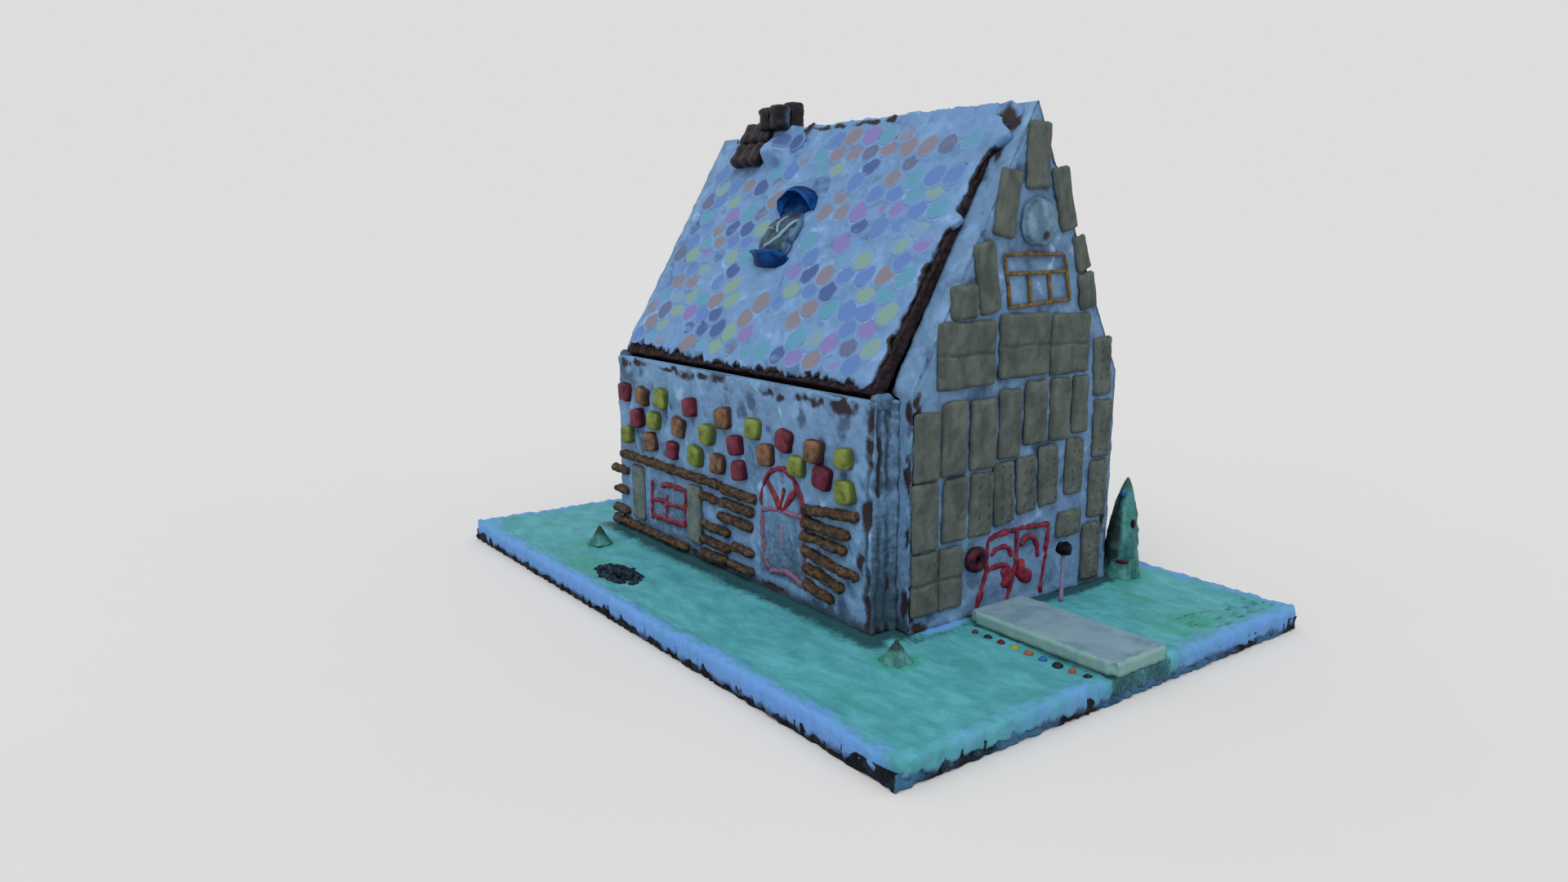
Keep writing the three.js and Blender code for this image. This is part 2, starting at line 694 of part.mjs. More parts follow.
// ---- crackers on the door gable ----------------------------------------
// Each row gives the middle, width, height and lean of its crackers.
const CRACKER_ROWS = {
  left: [[-119.5, 165, 30, 60, 0], [-120, 103.5, 30, 61, 2], [-119, 43.5, 31, 57, 0]],
  second: [[-87, 169, 30, 66, 0], [-84, 105, 29, 58, -1], [-87.5, 43.5, 29, 57, 0]],
  upper: [[-51, 169, 32, 63, 0], [-17, 175, 28, 64, 0], [17.5, 182, 30, 59, 0], [51.5, 182, 27, 59, 0],
    [80.5, 184, 22, 56, 0]],
  middle: [[-51, 105, 28, 59, -1], [-22, 111, 25, 58, 4], [8, 115, 25, 54, 4], [38.5, 120, 25, 58, 3],
    [76, 124, 24, 56, 0]],
  right: [[111, 218, 24, 56, 4], [116, 157, 26, 57, 0], [114, 97, 26, 57, 0], [108, 34, 26, 58, 0],
    [73, 68, 34, 25, 0]],
  bricks: [[-74.5, 241, 70, 58, 0], [-1, 245, 66, 57, 0], [62, 243, 54, 57, 0]],
  peak: [[-80, 286, 32, 30, 2], [-53, 306, 25, 62, 11], [-31, 369, 26, 58, -9], [6.5, 411, 28, 58, 0],
    [40, 374, 21, 58, 17], [66.5, 326, 17, 33, 20], [79, 291, 21, 34, 13]],
};
const SCORED = ["left_3", "second_3", "bricks_1", "bricks_2", "bricks_3"];

Object.entries(CRACKER_ROWS).forEach(([row, crackers]) => {
  crackers.forEach(([x, z, wide, tall, lean], n) => {
    const name = `${row}_${n + 1}`;
    let plate = solid(extrude(slabOutline(wide, tall, CRACKER.corner), CRACKER.thick));
    if (SCORED.includes(name)) {
      const groove = new THREE.BoxGeometry(wide + 2, 1.6, 2.4);
      groove.translate(0, 0, CRACKER.thick);
      plate = plate.subtract(solid(groove));
    }
    const geometry = geometryOf(plate);
    geometry.rotateZ(THREE.MathUtils.degToRad(lean));
    geometry.translate(x, z, GAP);
    add(house, `cracker_${name}`, onto(GABLE_FACE, [geometry])[0], "cracker");
  });
});

// ---- round sweet, lattice window, ring and lamp on the door gable ---------
function roundSweet() {
  const disc = lathe([[0, GAP], [20, GAP], [22, 3.5], [18.5, 9], [9, 11], [0, 11.3]], 14);
  disc.rotateX(Math.PI / 2);
  disc.translate(9.6, 354, 0);
  return onto(GABLE_FACE, [disc])[0];
}
add(house, "round_sweet", roundSweet(), "icing");

const LATTICE_BARS = [
  [[-33, 325], [-23, 279]], [[-34, 325], [46, 325]], [[-32, 309], [49, 310]],
  [[-25, 279], [59, 284]], [[-1, 309], [4, 281]], [[26, 310], [31, 283]], [[47, 325], [57, 284]],
];

function lattice() {
  const bars = LATTICE_BARS.flatMap((points) => piped(points, 3.6, 1.6));
  return geometryOf(join(onto(GABLE_FACE, bars.map((bar) => bar.translate(0, 0, 2 + GAP)))));
}
add(house, "window_lattice", lattice(), "pretzel");

function ring() {
  const torus = new THREE.TorusGeometry(8, 4.6, 6, 12);
  torus.translate(-58.5, 56, 4.6 + GAP);
  return onto(GABLE_FACE, [torus])[0];
}
add(house, "red_ring", ring(), "red");

function lamp() {
  const { radius, height, head: size } = LAMP;
  const post = new THREE.CylinderGeometry(radius, radius, height - size / 2, 6);
  post.rotateX(Math.PI / 2);
  post.translate(LAMP.x, LAMP.y, (height - size / 2) / 2 + GAP);
  const head = new THREE.CylinderGeometry(5, 7.4, size, 7);
  head.rotateX(Math.PI / 2);
  head.translate(LAMP.x, LAMP.y, height - size / 2);
  return geometryOf(join([post, head]));
}
add(house, "lamp", lamp(), "black");

// ---- path, tree, shrubs and coal ---------------------------------------
function pathSlab() {
  const [wide, long] = [PATH.x[1] - PATH.x[0], PATH.y[1] - PATH.y[0]];
  const slab = alongZ(slabOutline(wide, long, 4), GAP, PATH.thick);
  slab.translate((PATH.x[0] + PATH.x[1]) / 2, (PATH.y[0] + PATH.y[1]) / 2, 0);
  return slab;
}
add(house, "path", pathSlab(), "path");

// A cone of icing with a lightly lumped side.
function cone({ x, y, radius, height, bulge, blunt }, sides, rings, rough) {
  const profile = [[0, GAP], [radius, GAP]];
  for (let n = 1; n < rings; n += 1) {
    const up = n / rings;
    profile.push([radius * (1 - up ** bulge) ** blunt, GAP + up * height]);
  }
  profile.push([0, height]);
  const shape = lathe(profile, sides);
  shape.rotateX(Math.PI / 2);
  const merged = bare(shape);
  const place = merged.attributes.position;
  for (let n = 0; n < place.count; n += 1) {
    const [px, py, pz] = [place.getX(n), place.getY(n), place.getZ(n)];
    if (Math.hypot(px, py) < 0.01 || pz < GAP + 0.01) continue;
    const angle = Math.atan2(py, px);
    const swell = 1 + rough * Math.sin(3 * angle + pz * 0.21) * Math.sin(pz * 0.9 + angle);
    place.setXY(n, px * swell, py * swell);
  }
  merged.translate(x, y, 0);
  return merged;
}
add(house, "tree", cone(TREE, 12, 11, 0.05), "green");
SHRUBS.forEach((shrub) => add(house, shrub.name, cone(shrub, 9, 4, 0.12), "green"));

function coalHeap() {
  const random = seeded(7);
  const lumps = [block(
    [-COAL.wide * 0.36, COAL.wide * 0.36],
    [-COAL.long * 0.36, COAL.long * 0.36],
    [GAP, 4],
  )];
  for (let n = 0; n < 15; n += 1) {
    const size = 7 + 3.5 * random();
    const lump = new THREE.OctahedronGeometry(size, 0);
    const angle = 2 * Math.PI * random();
    const reach = Math.sqrt(random()) * 0.36;
    lump.rotateX(angle * 3);
    lump.translate(COAL.wide * reach * Math.cos(angle), COAL.long * reach * Math.sin(angle), 4);
    lumps.push(lump);
  }
  const floor = block([-200, 200], [-200, 200], [GAP, 100]);
  const heap = geometryOf(join(lumps).intersect(solid(floor)));
  return heap.translate(COAL.x, COAL.y, 0);
}
add(house, "coal", coalHeap(), "black");

export default part;
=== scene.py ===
"""An iced gingerbread house on its board, dressed round its CAD frame.

Sizes are in millimetres. House places are measured as in the CAD: x from the
house's centre line, z from the lawn. Objects are made in metres.
"""
import itertools
import math

import bmesh
import bpy
import numpy as np
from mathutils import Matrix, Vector


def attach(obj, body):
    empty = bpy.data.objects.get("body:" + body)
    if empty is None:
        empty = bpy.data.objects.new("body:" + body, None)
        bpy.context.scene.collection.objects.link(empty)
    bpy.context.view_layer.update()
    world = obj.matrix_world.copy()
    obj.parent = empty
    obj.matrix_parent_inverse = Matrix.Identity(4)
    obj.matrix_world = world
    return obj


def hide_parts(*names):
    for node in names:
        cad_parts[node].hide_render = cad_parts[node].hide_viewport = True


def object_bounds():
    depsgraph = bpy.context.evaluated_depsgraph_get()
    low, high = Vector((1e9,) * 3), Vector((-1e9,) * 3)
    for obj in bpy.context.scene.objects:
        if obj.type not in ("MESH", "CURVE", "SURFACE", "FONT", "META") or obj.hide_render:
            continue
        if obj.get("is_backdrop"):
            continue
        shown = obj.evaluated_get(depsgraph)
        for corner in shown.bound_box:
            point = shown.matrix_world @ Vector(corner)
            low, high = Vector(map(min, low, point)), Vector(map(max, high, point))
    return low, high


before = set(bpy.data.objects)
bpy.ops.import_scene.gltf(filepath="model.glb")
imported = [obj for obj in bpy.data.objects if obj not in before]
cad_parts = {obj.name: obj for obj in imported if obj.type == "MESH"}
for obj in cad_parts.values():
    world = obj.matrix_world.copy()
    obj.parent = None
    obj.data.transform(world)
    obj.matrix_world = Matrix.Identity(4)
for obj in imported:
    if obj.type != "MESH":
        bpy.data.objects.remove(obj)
cad_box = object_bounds()

# ---- driving dimensions ----
MM = 0.001
GAP = 0.3  # between pieces that touch
BOARD = {"width": 506, "length": 752, "thick": 13}
LAWN = {"width": 511, "length": 757, "thick": 8}
GROUND = BOARD["thick"] + LAWN["thick"]
HOUSE_X = 47  # the house stands this far to the right of the board's middle
ICING = 6
BREAD = 12
GABLE = {"half": 135, "shoulder": 212, "apex": 457, "lean": 5, "front": -211}
WALL = {"half": 161.5, "top": 205.5}
EAVE = {"x": 158.5, "z": 212.5}
RIDGE_Z = 456
ROOF = {"front": -182.2, "back": 252.4, "icing": 5}
MIDDLE_Y = (ROOF["front"] + ROOF["back"]) / 2
WALL_END = GABLE["front"] + ICING + BREAD + GAP
WALL_FAR = 2 * MIDDLE_Y - WALL_END
GABLE_FAR = 2 * MIDDLE_Y - GABLE["front"]
SIDE_NAMES = {-1: "left", 1: "right"}

SLOPE = math.hypot(EAVE["x"], RIDGE_Z - EAVE["z"])
SIN = (RIDGE_Z - EAVE["z"]) / SLOPE
COS = EAVE["x"] / SLOPE


# ---- noise and random numbers ----
def seeded(seed):
    """Repeatable random numbers from 0 to 1, the same as the CAD model draws."""
    state = seed
    while True:
        state = (state * 48271) % 2147483647
        yield state / 2147483647


def noise(places, size, seed=0):
    """Smooth noise from -1 to 1, with lumps of the given size."""
    mask = 0xFFFFFFFF
    primes, seed_prime, mixer = (374761393, 668265263, 1103515245), 974634777, 1274126177
    cells = [np.floor(np.asarray(p) / size).astype(np.int64) for p in places]
    parts = [np.asarray(p) / size - c for p, c in zip(places, cells)]
    soft = [p * p * (3 - 2 * p) for p in parts]
    total = 0.0
    for corner in itertools.product((0, 1), repeat=len(places)):
        key = seed * seed_prime
        weight = 1.0
        for cell, part, step, prime in zip(cells, soft, corner, primes):
            key = key + (cell + step) * prime
            weight = weight * (part if step else 1 - part)
        key = key & mask
        key = ((key ^ (key >> 13)) * mixer) & mask
        total = total + weight * ((key ^ (key >> 16)) & 0xFFFF) / 65535
    return 2 * total - 1


def rough(places, size, seed=0, octaves=3):
    """Layers of noise, each half the size and half the height of the last."""
    layers = range(octaves)
    total = sum(noise(places, size / 2 ** n, seed + n) / 2 ** n for n in layers)
    return total / sum(1 / 2 ** n for n in layers)


def ridged(places, size, seed=0):
    """Crests like the edges that a knife leaves in icing."""
    return (1 - np.abs(noise(places, size, seed))) ** 3


def near(distance, reach):
    """1 at no distance, and soon 0 past the reach."""
    return np.exp(-(np.asarray(distance) / reach) ** 2)


def oval(a, b, half_a, half_b):
    """1 in the middle of an oval, and soon 0 past its edge."""
    return near(np.hypot(a / half_a, b / half_b), 1)


def unit(values):
    """Values held between 0 and 1."""
    return np.clip(values, 0, 1)


# ---- faces that carry pieces ----
# Each turns (along, up, out) on a face into a place in the row's frame.
def stack(x, y, z):
    return np.stack(np.broadcast_arrays(x, y, z), axis=-1).astype(float)


def on_ground(x, y, z):
    return stack(x + HOUSE_X, y, z + GROUND)


def on_board(x, y, z):
    return stack(x, y, z)


def on_gable(x, z, out):
    return on_ground(x, GABLE["front"] - out, z)


def on_back(x, z, out):
    return on_ground(x, GABLE_FAR + out, z)


def side_face(way):
    def place(along, z, out):
        return on_ground(way * (WALL["half"] + out), -along, z)
    return place


def roof_face(way):
    def place(along, up, out):
        x = EAVE["x"] - up * COS + out * SIN
        return on_ground(way * x, -along, EAVE["z"] + up * SIN + out * COS)
    return place


# ---- closed shapes ----
class Build:
    """Closed shapes in millimetres, gathered into one object."""

    def __init__(self):
        self.points = []
        self.faces = []
        self.slots = []
        self.marks = []
        self.count = 0

    def add(self, points, faces, slot=0, **marks):
        points = np.asarray(points, float).reshape(-1, 3)
        self.faces += [tuple(k + self.count for k in face) for face in faces]
        self.slots += [slot] * len(faces)
        self.points.append(points)
        self.marks.append((len(points), marks))
        self.count += len(points)

    def loft(self, rings, slot=0, **marks):
        """Rings of points, each joined to the next, with both ends closed."""
        rings = np.asarray(rings, float)
        levels, sides = rings.shape[:2]
        faces = [tuple(range(sides)), tuple((levels - 1) * sides + n for n in range(sides))]
        for level in range(levels - 1):
            for n in range(sides):
                a = level * sides + n
                b = level * sides + (n + 1) % sides
                faces.append((a, b, b + sides, a + sides))
        self.add(rings, faces, slot, **marks)

    def sheet(self, face, a, b, out, skirts, ragged=0.0, seed=0, slot=0, **marks):
        """A grid of points on a face, with rings of points below its border.

        Each skirt is how far the ring is set in, its height out of the face, and how
        far that height wanders.
        """
        rows, cols = out.shape
        loop = [*range(cols), *(r * cols + cols - 1 for r in range(1, rows)),
                *((rows - 1) * cols + c for c in range(cols - 2, -1, -1)),
                *(r * cols for r in range(rows - 2, 0, -1))]
        faces = []
        for r in range(rows - 1):
            for c in range(cols - 1):
                k = r * cols + c
                faces.append((k, k + 1, k + cols + 1, k + cols))
        edge = np.stack([a.ravel()[loop], b.ravel()[loop]], axis=-1)
        along = np.roll(edge, -1, axis=0) - np.roll(edge, 1, axis=0)
        along /= np.maximum(np.linalg.norm(along, axis=1, keepdims=True), 1e-9)
        outward = np.stack([along[:, 1], -along[:, 0]], axis=-1)
        points = [face(a, b, out).reshape(-1, 3)]
        size = len(loop)
        before = loop
        for level, (inset, height, sway) in enumerate(skirts):
            wobble = ragged * noise((edge[:, 0], edge[:, 1], height + 0 * edge[:, 0]), 4, seed)
            ring = edge - outward * (inset + wobble)[:, None]
            wander = sway * noise((edge[:, 0], edge[:, 1]), 7, seed + 1)
            points.append(face(ring[:, 0], ring[:, 1], height + wander))
            after = [rows * cols + level * size + n for n in range(size)]
            for n in range(size):
                m = (n + 1) % size
                faces.append((before[n], after[n], after[m], before[m]))
            before = after
        faces.append(tuple(before))
        full = {}
        for name, values in marks.items():
            grid = np.broadcast_to(values, out.shape).ravel()
            full[name] = np.concatenate([grid] + [grid[loop]] * len(skirts))
        self.add(np.concatenate(points), faces, slot, **full)

    def strand(self, face, path, wide, high, lift=0.0, sides=10, power=2.0, step=2.0,
               lumps=0.0, taper=1.0, seed=0, slot=0, **marks):
        """A bar or piped line that follows a path on a face."""
        path = resampled(np.asarray(path, float), step)
        along = np.gradient(path, axis=0)
        along /= np.linalg.norm(along, axis=1, keepdims=True)
        across = np.stack([-along[:, 1], along[:, 0]], axis=-1)
        section = squircle(1, 1, sides, power)
        count = len(path)
        rings = []
        for n in range(count):
            end = min(n, count - 1 - n) / 1.5
            swell = 1 - (1 - taper) * max(0.0, 1 - end) ** 2
            spot = path[n] + across[n] * section[:, :1] * wide / 2 * swell
            height = lift + section[:, 1] * high / 2 * swell
            bump = 1 + lumps * noise((spot[:, 0], spot[:, 1], height * 3), 5, seed)
            spot = path[n] + (spot - path[n]) * bump[:, None]
            rings.append(face(spot[:, 0], spot[:, 1], lift + (height - lift) * bump))
        self.loft(rings, slot, **marks)

    def mound(self, face, middle, half, levels, sides=20, power=2.0, turn=0.0, lumps=0.0,
              grain=6.0, tilt=0.0, seed=0, slot=0, mark=None, **marks):
        """Rings of shrinking size on a face: a sweet, a lump, a disc or a cone.

        Each level is the height out of the face and the ring's share of full size.
        """
        outline = squircle(*half, sides, power)
        cos, sin = math.cos(turn), math.sin(turn)
        rings = []
        values = []
        for out, share in levels:
            spot = outline * share
            spot = np.stack([spot[:, 0] * cos - spot[:, 1] * sin,
                             spot[:, 0] * sin + spot[:, 1] * cos], axis=-1)
            bump = lumps * rough((spot[:, 0], spot[:, 1], out + 0 * spot[:, 0]), grain, seed, 2)
            lean = tilt * spot[:, 1]
            spot = np.asarray(middle) + spot * (1 + bump[:, None])
            rings.append(face(spot[:, 0], spot[:, 1], out * (1 + bump * 0.6) + lean))
            values += [share] * sides
        if mark:
            marks[mark] = np.array(values)
        self.loft(rings, slot, **marks)


def squircle(half_a, half_b, sides, power):
    """A ring of points: round for a power of 2, squarer as it rises."""
    angle = np.arange(sides) * 2 * math.pi / sides + math.pi / sides
    cos, sin = np.cos(angle), np.sin(angle)
    bent = 2 / power
    return np.stack([half_a * np.sign(cos) * np.abs(cos) ** bent,
                     half_b * np.sign(sin) * np.abs(sin) ** bent], axis=-1)


def resampled(path, step):
    """A path with points at even steps, its corners slightly rounded."""
    lengths = np.linalg.norm(np.diff(path, axis=0), axis=1)
    whole = np.concatenate([[0], np.cumsum(lengths)])
    count = max(3, int(whole[-1] / step) + 1)
    wanted = np.linspace(0, whole[-1], count)
    even = np.stack([np.interp(wanted, whole, path[:, k]) for k in range(2)], axis=-1)
    even[1:-1] = (even[:-2] + 2 * even[1:-1] + even[2:]) / 4
    return even


def spaced(low, high, margin, fine, coarse):
    """Places from low to high, close together within the margins."""
    inner = np.linspace(low + margin, high - margin, max(2, int((high - low - 2 * margin) / coarse)))
    edge = np.arange(0, margin, fine)
    return np.concatenate([low + edge, inner, (high - edge)[::-1]])


def spaced_grid(span_a, span_b, margin, fine, coarse):
    """Places over a rectangle, close together within its margins."""
    return np.meshgrid(*(spaced(*span, margin, fine, coarse) for span in (span_a, span_b)))


def closed_behind(**marks):
    """Marks for rings that end in four plain points behind the surface."""
    return {key: np.pad(mark, ((0, 0), (0, 4))).ravel() for key, mark in marks.items()}


def placed(name, data):
    """A new object in the scene, for a mesh, a camera or a lamp."""
    made = bpy.data.objects.new(name, data)
    bpy.context.scene.collection.objects.link(made)
    return made


def dress(name, build, materials, replaced):
    """Makes the gathered shapes one smooth object for the replaced nodes, and gives its mesh."""
    mesh = bpy.data.meshes.new(name)
    mesh.from_pydata((np.concatenate(build.points) * MM).tolist(), [], build.faces)
    mesh.polygons.foreach_set("material_index", build.slots)
    mesh.polygons.foreach_set("use_smooth", [True] * len(mesh.polygons))
    for mark in sorted({key for _, marks in build.marks for key in marks}):
        values = [np.broadcast_to(marks.get(mark, 0.0), count) for count, marks in build.marks]
        layer = mesh.attributes.new(mark, "FLOAT", "POINT")
        layer.data.foreach_set("value", np.concatenate(values).astype(np.float32))
    work = bmesh.new()
    work.from_mesh(mesh)
    bmesh.ops.recalc_face_normals(work, faces=work.faces)
    work.to_mesh(mesh)
    work.free()
    for material in materials:
        mesh.materials.append(material)
    piece = placed(name, mesh)
    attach(piece, "root")
    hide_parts(*replaced)
    return mesh


def spots_of(mesh):
    """A mesh's points in millimetres, as three rows."""
    spots = np.zeros(len(mesh.vertices) * 3)
    mesh.vertices.foreach_get("co", spots)
    return spots.reshape(-1, 3).T / MM


def set_mark(mesh, name, values):
    """Writes a mark that the mesh's material reads, one value for each point."""
    layer = mesh.attributes.get(name) or mesh.attributes.new(name, "FLOAT", "POINT")
    layer.data.foreach_set("value", unit(values).astype(np.float32))


def read_mark(mesh, name):
    values = np.zeros(len(mesh.vertices))
    mesh.attributes[name].data.foreach_get("value", values)
    return values


# ---- materials ----
def tone(red, green, blue):
    """A colour given as it shows on a screen, from 0 to 255."""
    def linear(value):
        share = value / 255
        return share / 12.92 if share <= 0.04045 else ((share + 0.055) / 1.055) ** 2.4
    return (linear(red), linear(green), linear(blue), 1.0)


class Nodes:
    """A short way to write shader nodes."""

    def __init__(self, material):
        material.use_nodes = True
        self.tree = material.node_tree
        self.tree.nodes.clear()

    def node(self, kind, inputs=None, **settings):
        made = self.tree.nodes.new("ShaderNode" + kind)
        for key, value in settings.items():
            setattr(made, key, value)
        for key, value in (inputs or {}).items():
            self.feed(made.inputs[key], value)
        return made

    def feed(self, socket, value):
        """Sets a socket to a value, or links it to the socket that gives the value."""
        if isinstance(value, bpy.types.NodeSocket):
            self.tree.links.new(value, socket)
        else:
            socket.default_value = value

    def grain(self, coords, size, detail=4.0, distortion=0.0):
        inputs = {"Vector": coords, "Scale": 1 / (size * MM), "Detail": detail,
                  "Roughness": 0.6, "Distortion": distortion}
        return self.node("TexNoise", inputs).outputs["Fac"]

    def mixed(self, share, first, second):
        made = self.node("Mix", data_type="RGBA")
        for key, value in (("Factor", share), ("A", first), ("B", second)):
            self.feed(next(s for s in made.inputs if s.name == key and s.enabled), value)
        return next(s for s in made.outputs if s.enabled)


BLOTCH_SPREAD = (0.36, 0.64)  # the stretch of the noise over which the tones change


def finish(name, tones, size, roughness=0.6, specular=0.2, bump=(3.0, 0.4), marks=(),
           stretch=(1, 1, 1)):
    """A food surface: blotches of a few tones, marked places, and fine relief."""
    material = bpy.data.materials.new(name)
    nodes = Nodes(material)
    where = nodes.node("TexCoord").outputs["Object"]
    coords = nodes.node("Mapping", {"Vector": where, "Scale": stretch}).outputs["Vector"]
    blotch = nodes.grain(coords, size, 5.0, 0.4)
    fine = nodes.grain(coords, size * 0.2, 3.0)
    ramp = nodes.node("ValToRGB", {"Fac": blotch})
    low, high = BLOTCH_SPREAD
    places = ramp.color_ramp.elements
    places[0].position, places[0].color = low, tone(*tones[0])
    places[1].position, places[1].color = high, tone(*tones[-1])
    for n, shade in enumerate(tones[1:-1], 1):
        places.new(low + (high - low) * n / (len(tones) - 1)).color = tone(*shade)
    colour = ramp.outputs["Color"]
    for mark, shade, wobble in marks:
        value = nodes.node("Attribute", attribute_name=mark).outputs["Fac"]
        inputs = {0: fine, 1: wobble, 2: -wobble / 2}
        sway = nodes.node("Math", inputs, operation="MULTIPLY_ADD").outputs[0]
        total = nodes.node("Math", {0: value, 1: sway}, operation="ADD").outputs[0]
        edges = {"Value": total, "From Min": 0.25, "From Max": 0.75}
        share = nodes.node("MapRange", edges, interpolation_type="SMOOTHSTEP").outputs[0]
        colour = nodes.mixed(share, colour, tone(*shade))
    relief = nodes.grain(where, bump[0], 5.0)
    inputs = {"Strength": 0.9, "Distance": bump[1] * MM, "Height": relief}
    normal = nodes.node("Bump", inputs).outputs["Normal"]
    dull = {"Value": fine, "To Min": roughness - 0.1, "To Max": roughness + 0.1}
    surface = {"Base Color": colour, "Roughness": nodes.node("MapRange", dull).outputs[0],
               "Specular IOR Level": specular, "Normal": normal}
    shine = nodes.node("BsdfPrincipled", surface)
    nodes.node("OutputMaterial", {"Surface": shine.outputs["BSDF"]})
    return material


BARE = (42, 35, 40)
FLAVOURS = {
    "blue": ((84, 116, 174), 0.22), "teal": ((82, 138, 166), 0.15),
    "lime": ((114, 146, 142), 0.18), "coral": ((118, 114, 128), 0.16),
    "pink": ((116, 110, 168), 0.12), "navy": ((64, 88, 138), 0.11),
    "mauve": ((88, 98, 130), 0.07),
}


def icing(name, dark, mid, light, crest, hollow):
    """Spread icing: painted highlight on crests, painted shade in hollows, gingerbread showing where it
    is thin.
    """
    return finish(name, [dark, mid, mid, light], 24, roughness=0.55, bump=(5, 0.9),
                  marks=(("crest", crest, 0.5), ("hollow", hollow, 0.5),
                         ("shade", (50, 70, 86), 0.5), ("bare", BARE, 0.6)))


# The last two tones of each icing are its painted highlight on crests and its painted shade in hollows.
roof_ice = icing("roof_ice", (91, 126, 167), (101, 138, 181), (112, 150, 193),
                 (131, 168, 209), (80, 113, 153))
wall_ice = icing("wall_ice", (86, 118, 152), (102, 138, 176), (116, 154, 192),
                 (138, 174, 208), (64, 88, 118))
gable_ice = icing("gable_ice", (84, 112, 146), (98, 132, 168), (112, 148, 186),
                  (134, 168, 204), (66, 90, 120))
gingerbread = finish("gingerbread", [(26, 22, 27), (40, 33, 38), (58, 46, 48)], 6,
                     roughness=0.85, specular=0.1, bump=(1.8, 1.2))


def baked(name, tones, size, edge, hole, stretch=(1, 1, 1)):
    """A cracker: dull, finely rough, darker along its edge and in its holes."""
    return finish(name, tones, size, roughness=0.8, specular=0.12, bump=(1.6, 0.45), stretch=stretch,
                  marks=(("edge", edge, 0.8), ("hole", hole, 0.3)))


cracker = baked("cracker", [(69, 76, 74), (81, 89, 86), (93, 101, 96)], 20, (70, 77, 73), (46, 46, 42),
                stretch=(1.4, 1, 0.7))
# A paler copy of the cracker, with painted light, for the shutters on the shaded side walls.
painted_lit_cracker = baked("cracker_painted_lit", [(84, 94, 92), (96, 108, 106), (106, 118, 114)], 16,
                     (76, 86, 86), (56, 58, 54))
wafer_finishes = [
    finish(f"wafer_{key}", [shade, shade], 8, bump=(3, 0.3),
           marks=(("veil", (103, 138, 179), 0.6),))
    for key, (shade, _) in FLAVOURS.items()
]


def sweet_finish(name, dark, mid, light):
    # The side mark is painted shade, in the dark tone, round each sweet's sides.
    return finish(name, [dark, mid, light], 12, roughness=0.45, specular=0.15, bump=(2, 0.3),
                  marks=(("side", dark, 0.4),))


SWEETS = {
    "R": sweet_finish("sweet_red", (60, 21, 34), (98, 34, 51), (112, 44, 62)),
    "O": sweet_finish("sweet_orange", (58, 42, 40), (104, 76, 56), (120, 92, 66)),
    "Y": sweet_finish("sweet_yellow", (74, 88, 44), (108, 122, 52), (122, 136, 68)),
}
pretzel = finish("pretzel", [(34, 32, 32), (64, 52, 42), (98, 76, 50)], 7,
                 roughness=0.7, specular=0.12, bump=(2, 0.8), stretch=(2, 1, 2),
                 marks=(("iced", (62, 76, 88), 1.0),))
lattice_finish = finish("lattice_gold", [(62, 54, 44), (96, 80, 50), (122, 100, 58)],
                        6, roughness=0.5, bump=(1.5, 0.4))
piped_red = finish("piped_red", [(78, 18, 36), (112, 26, 46), (130, 44, 62)], 7,
                   roughness=0.45, bump=(1.5, 0.3),
                   marks=(("faded", (118, 114, 146), 0.9),))
dark_red = finish("dark_red", [(20, 14, 22), (44, 18, 30), (84, 24, 40)], 7,
                  roughness=0.5, specular=0.15, bump=(2, 0.5))
# Painted shade: the foot mark by the walls and the path, the under mark low on the hanging edge, the pit
# mark in the pits; pit also darkens under the coal.
lawn_finish = finish(
    "lawn", [(64, 138, 146), (73, 149, 158), (82, 160, 172)], 26,
    bump=(5, 1.2), stretch=(1.5, 0.8, 1),
    marks=(("green", (54, 142, 126), 0.8), ("foot", (30, 70, 76), 0.7),
           ("rim", (94, 142, 203), 0.35), ("under", (52, 74, 112), 0.6),
           ("pit", (30, 58, 74), 0.6)))
board_finish = finish("board_dark", [(6, 9, 13), (16, 21, 27), (34, 44, 56)], 9,
                      roughness=0.7, specular=0.1, bump=(3, 1.4),
                      marks=(("smear", (60, 104, 136), 0.9),))
# The baked mark paints the edges and sides paler and greener than the top: painted light from the lawn on
# the shaded sides.
path_finish = finish("shortbread", [(98, 126, 142), (112, 140, 156), (122, 148, 162)],
                     30, roughness=0.8, specular=0.12, bump=(2, 0.5),
                     marks=(("baked", (120, 158, 154), 0.7),))
chocolate = finish("chocolate", [(18, 16, 21), (30, 26, 32), (50, 41, 47)], 10,
                   roughness=0.4, specular=0.15, bump=(3, 0.5),
                   marks=(("iced", (64, 86, 116), 0.7), ("shade", (10, 10, 14), 0.4)))
# On the foil, the rim mark is a painted highlight and painted light inside the cups, and the deep mark is
# painted shade deep inside.
wrapper = finish("blue_wrapper", [(0, 29, 68), (2, 45, 97), (10, 69, 132)], 11,
                 roughness=0.4, specular=0.08, bump=(3, 0.9),
                 marks=(("rim", (6, 70, 142), 0.5), ("deep", (0, 22, 54), 0.4)))
clear = finish("clear_sweet", [(30, 52, 60), (40, 66, 80), (52, 80, 100)], 12,
               roughness=0.35, bump=(3, 0.6),
               marks=(("dusk", (42, 62, 64), 0.5), ("mauve", (58, 68, 88), 0.5),
                      ("bit", (26, 58, 60), 0.5), ("iced", (80, 110, 142), 0.6),
                      ("fold", (120, 150, 172), 0.5)))
black_sweet = finish("black_sweet", [(0, 3, 7), (4, 9, 15), (14, 23, 33)], 6,
                     roughness=0.5, specular=0.1, bump=(2, 0.5))
lamp_post = finish("lamp_post", [(112, 112, 142), (128, 122, 152)], 8, bump=(2, 0.2))
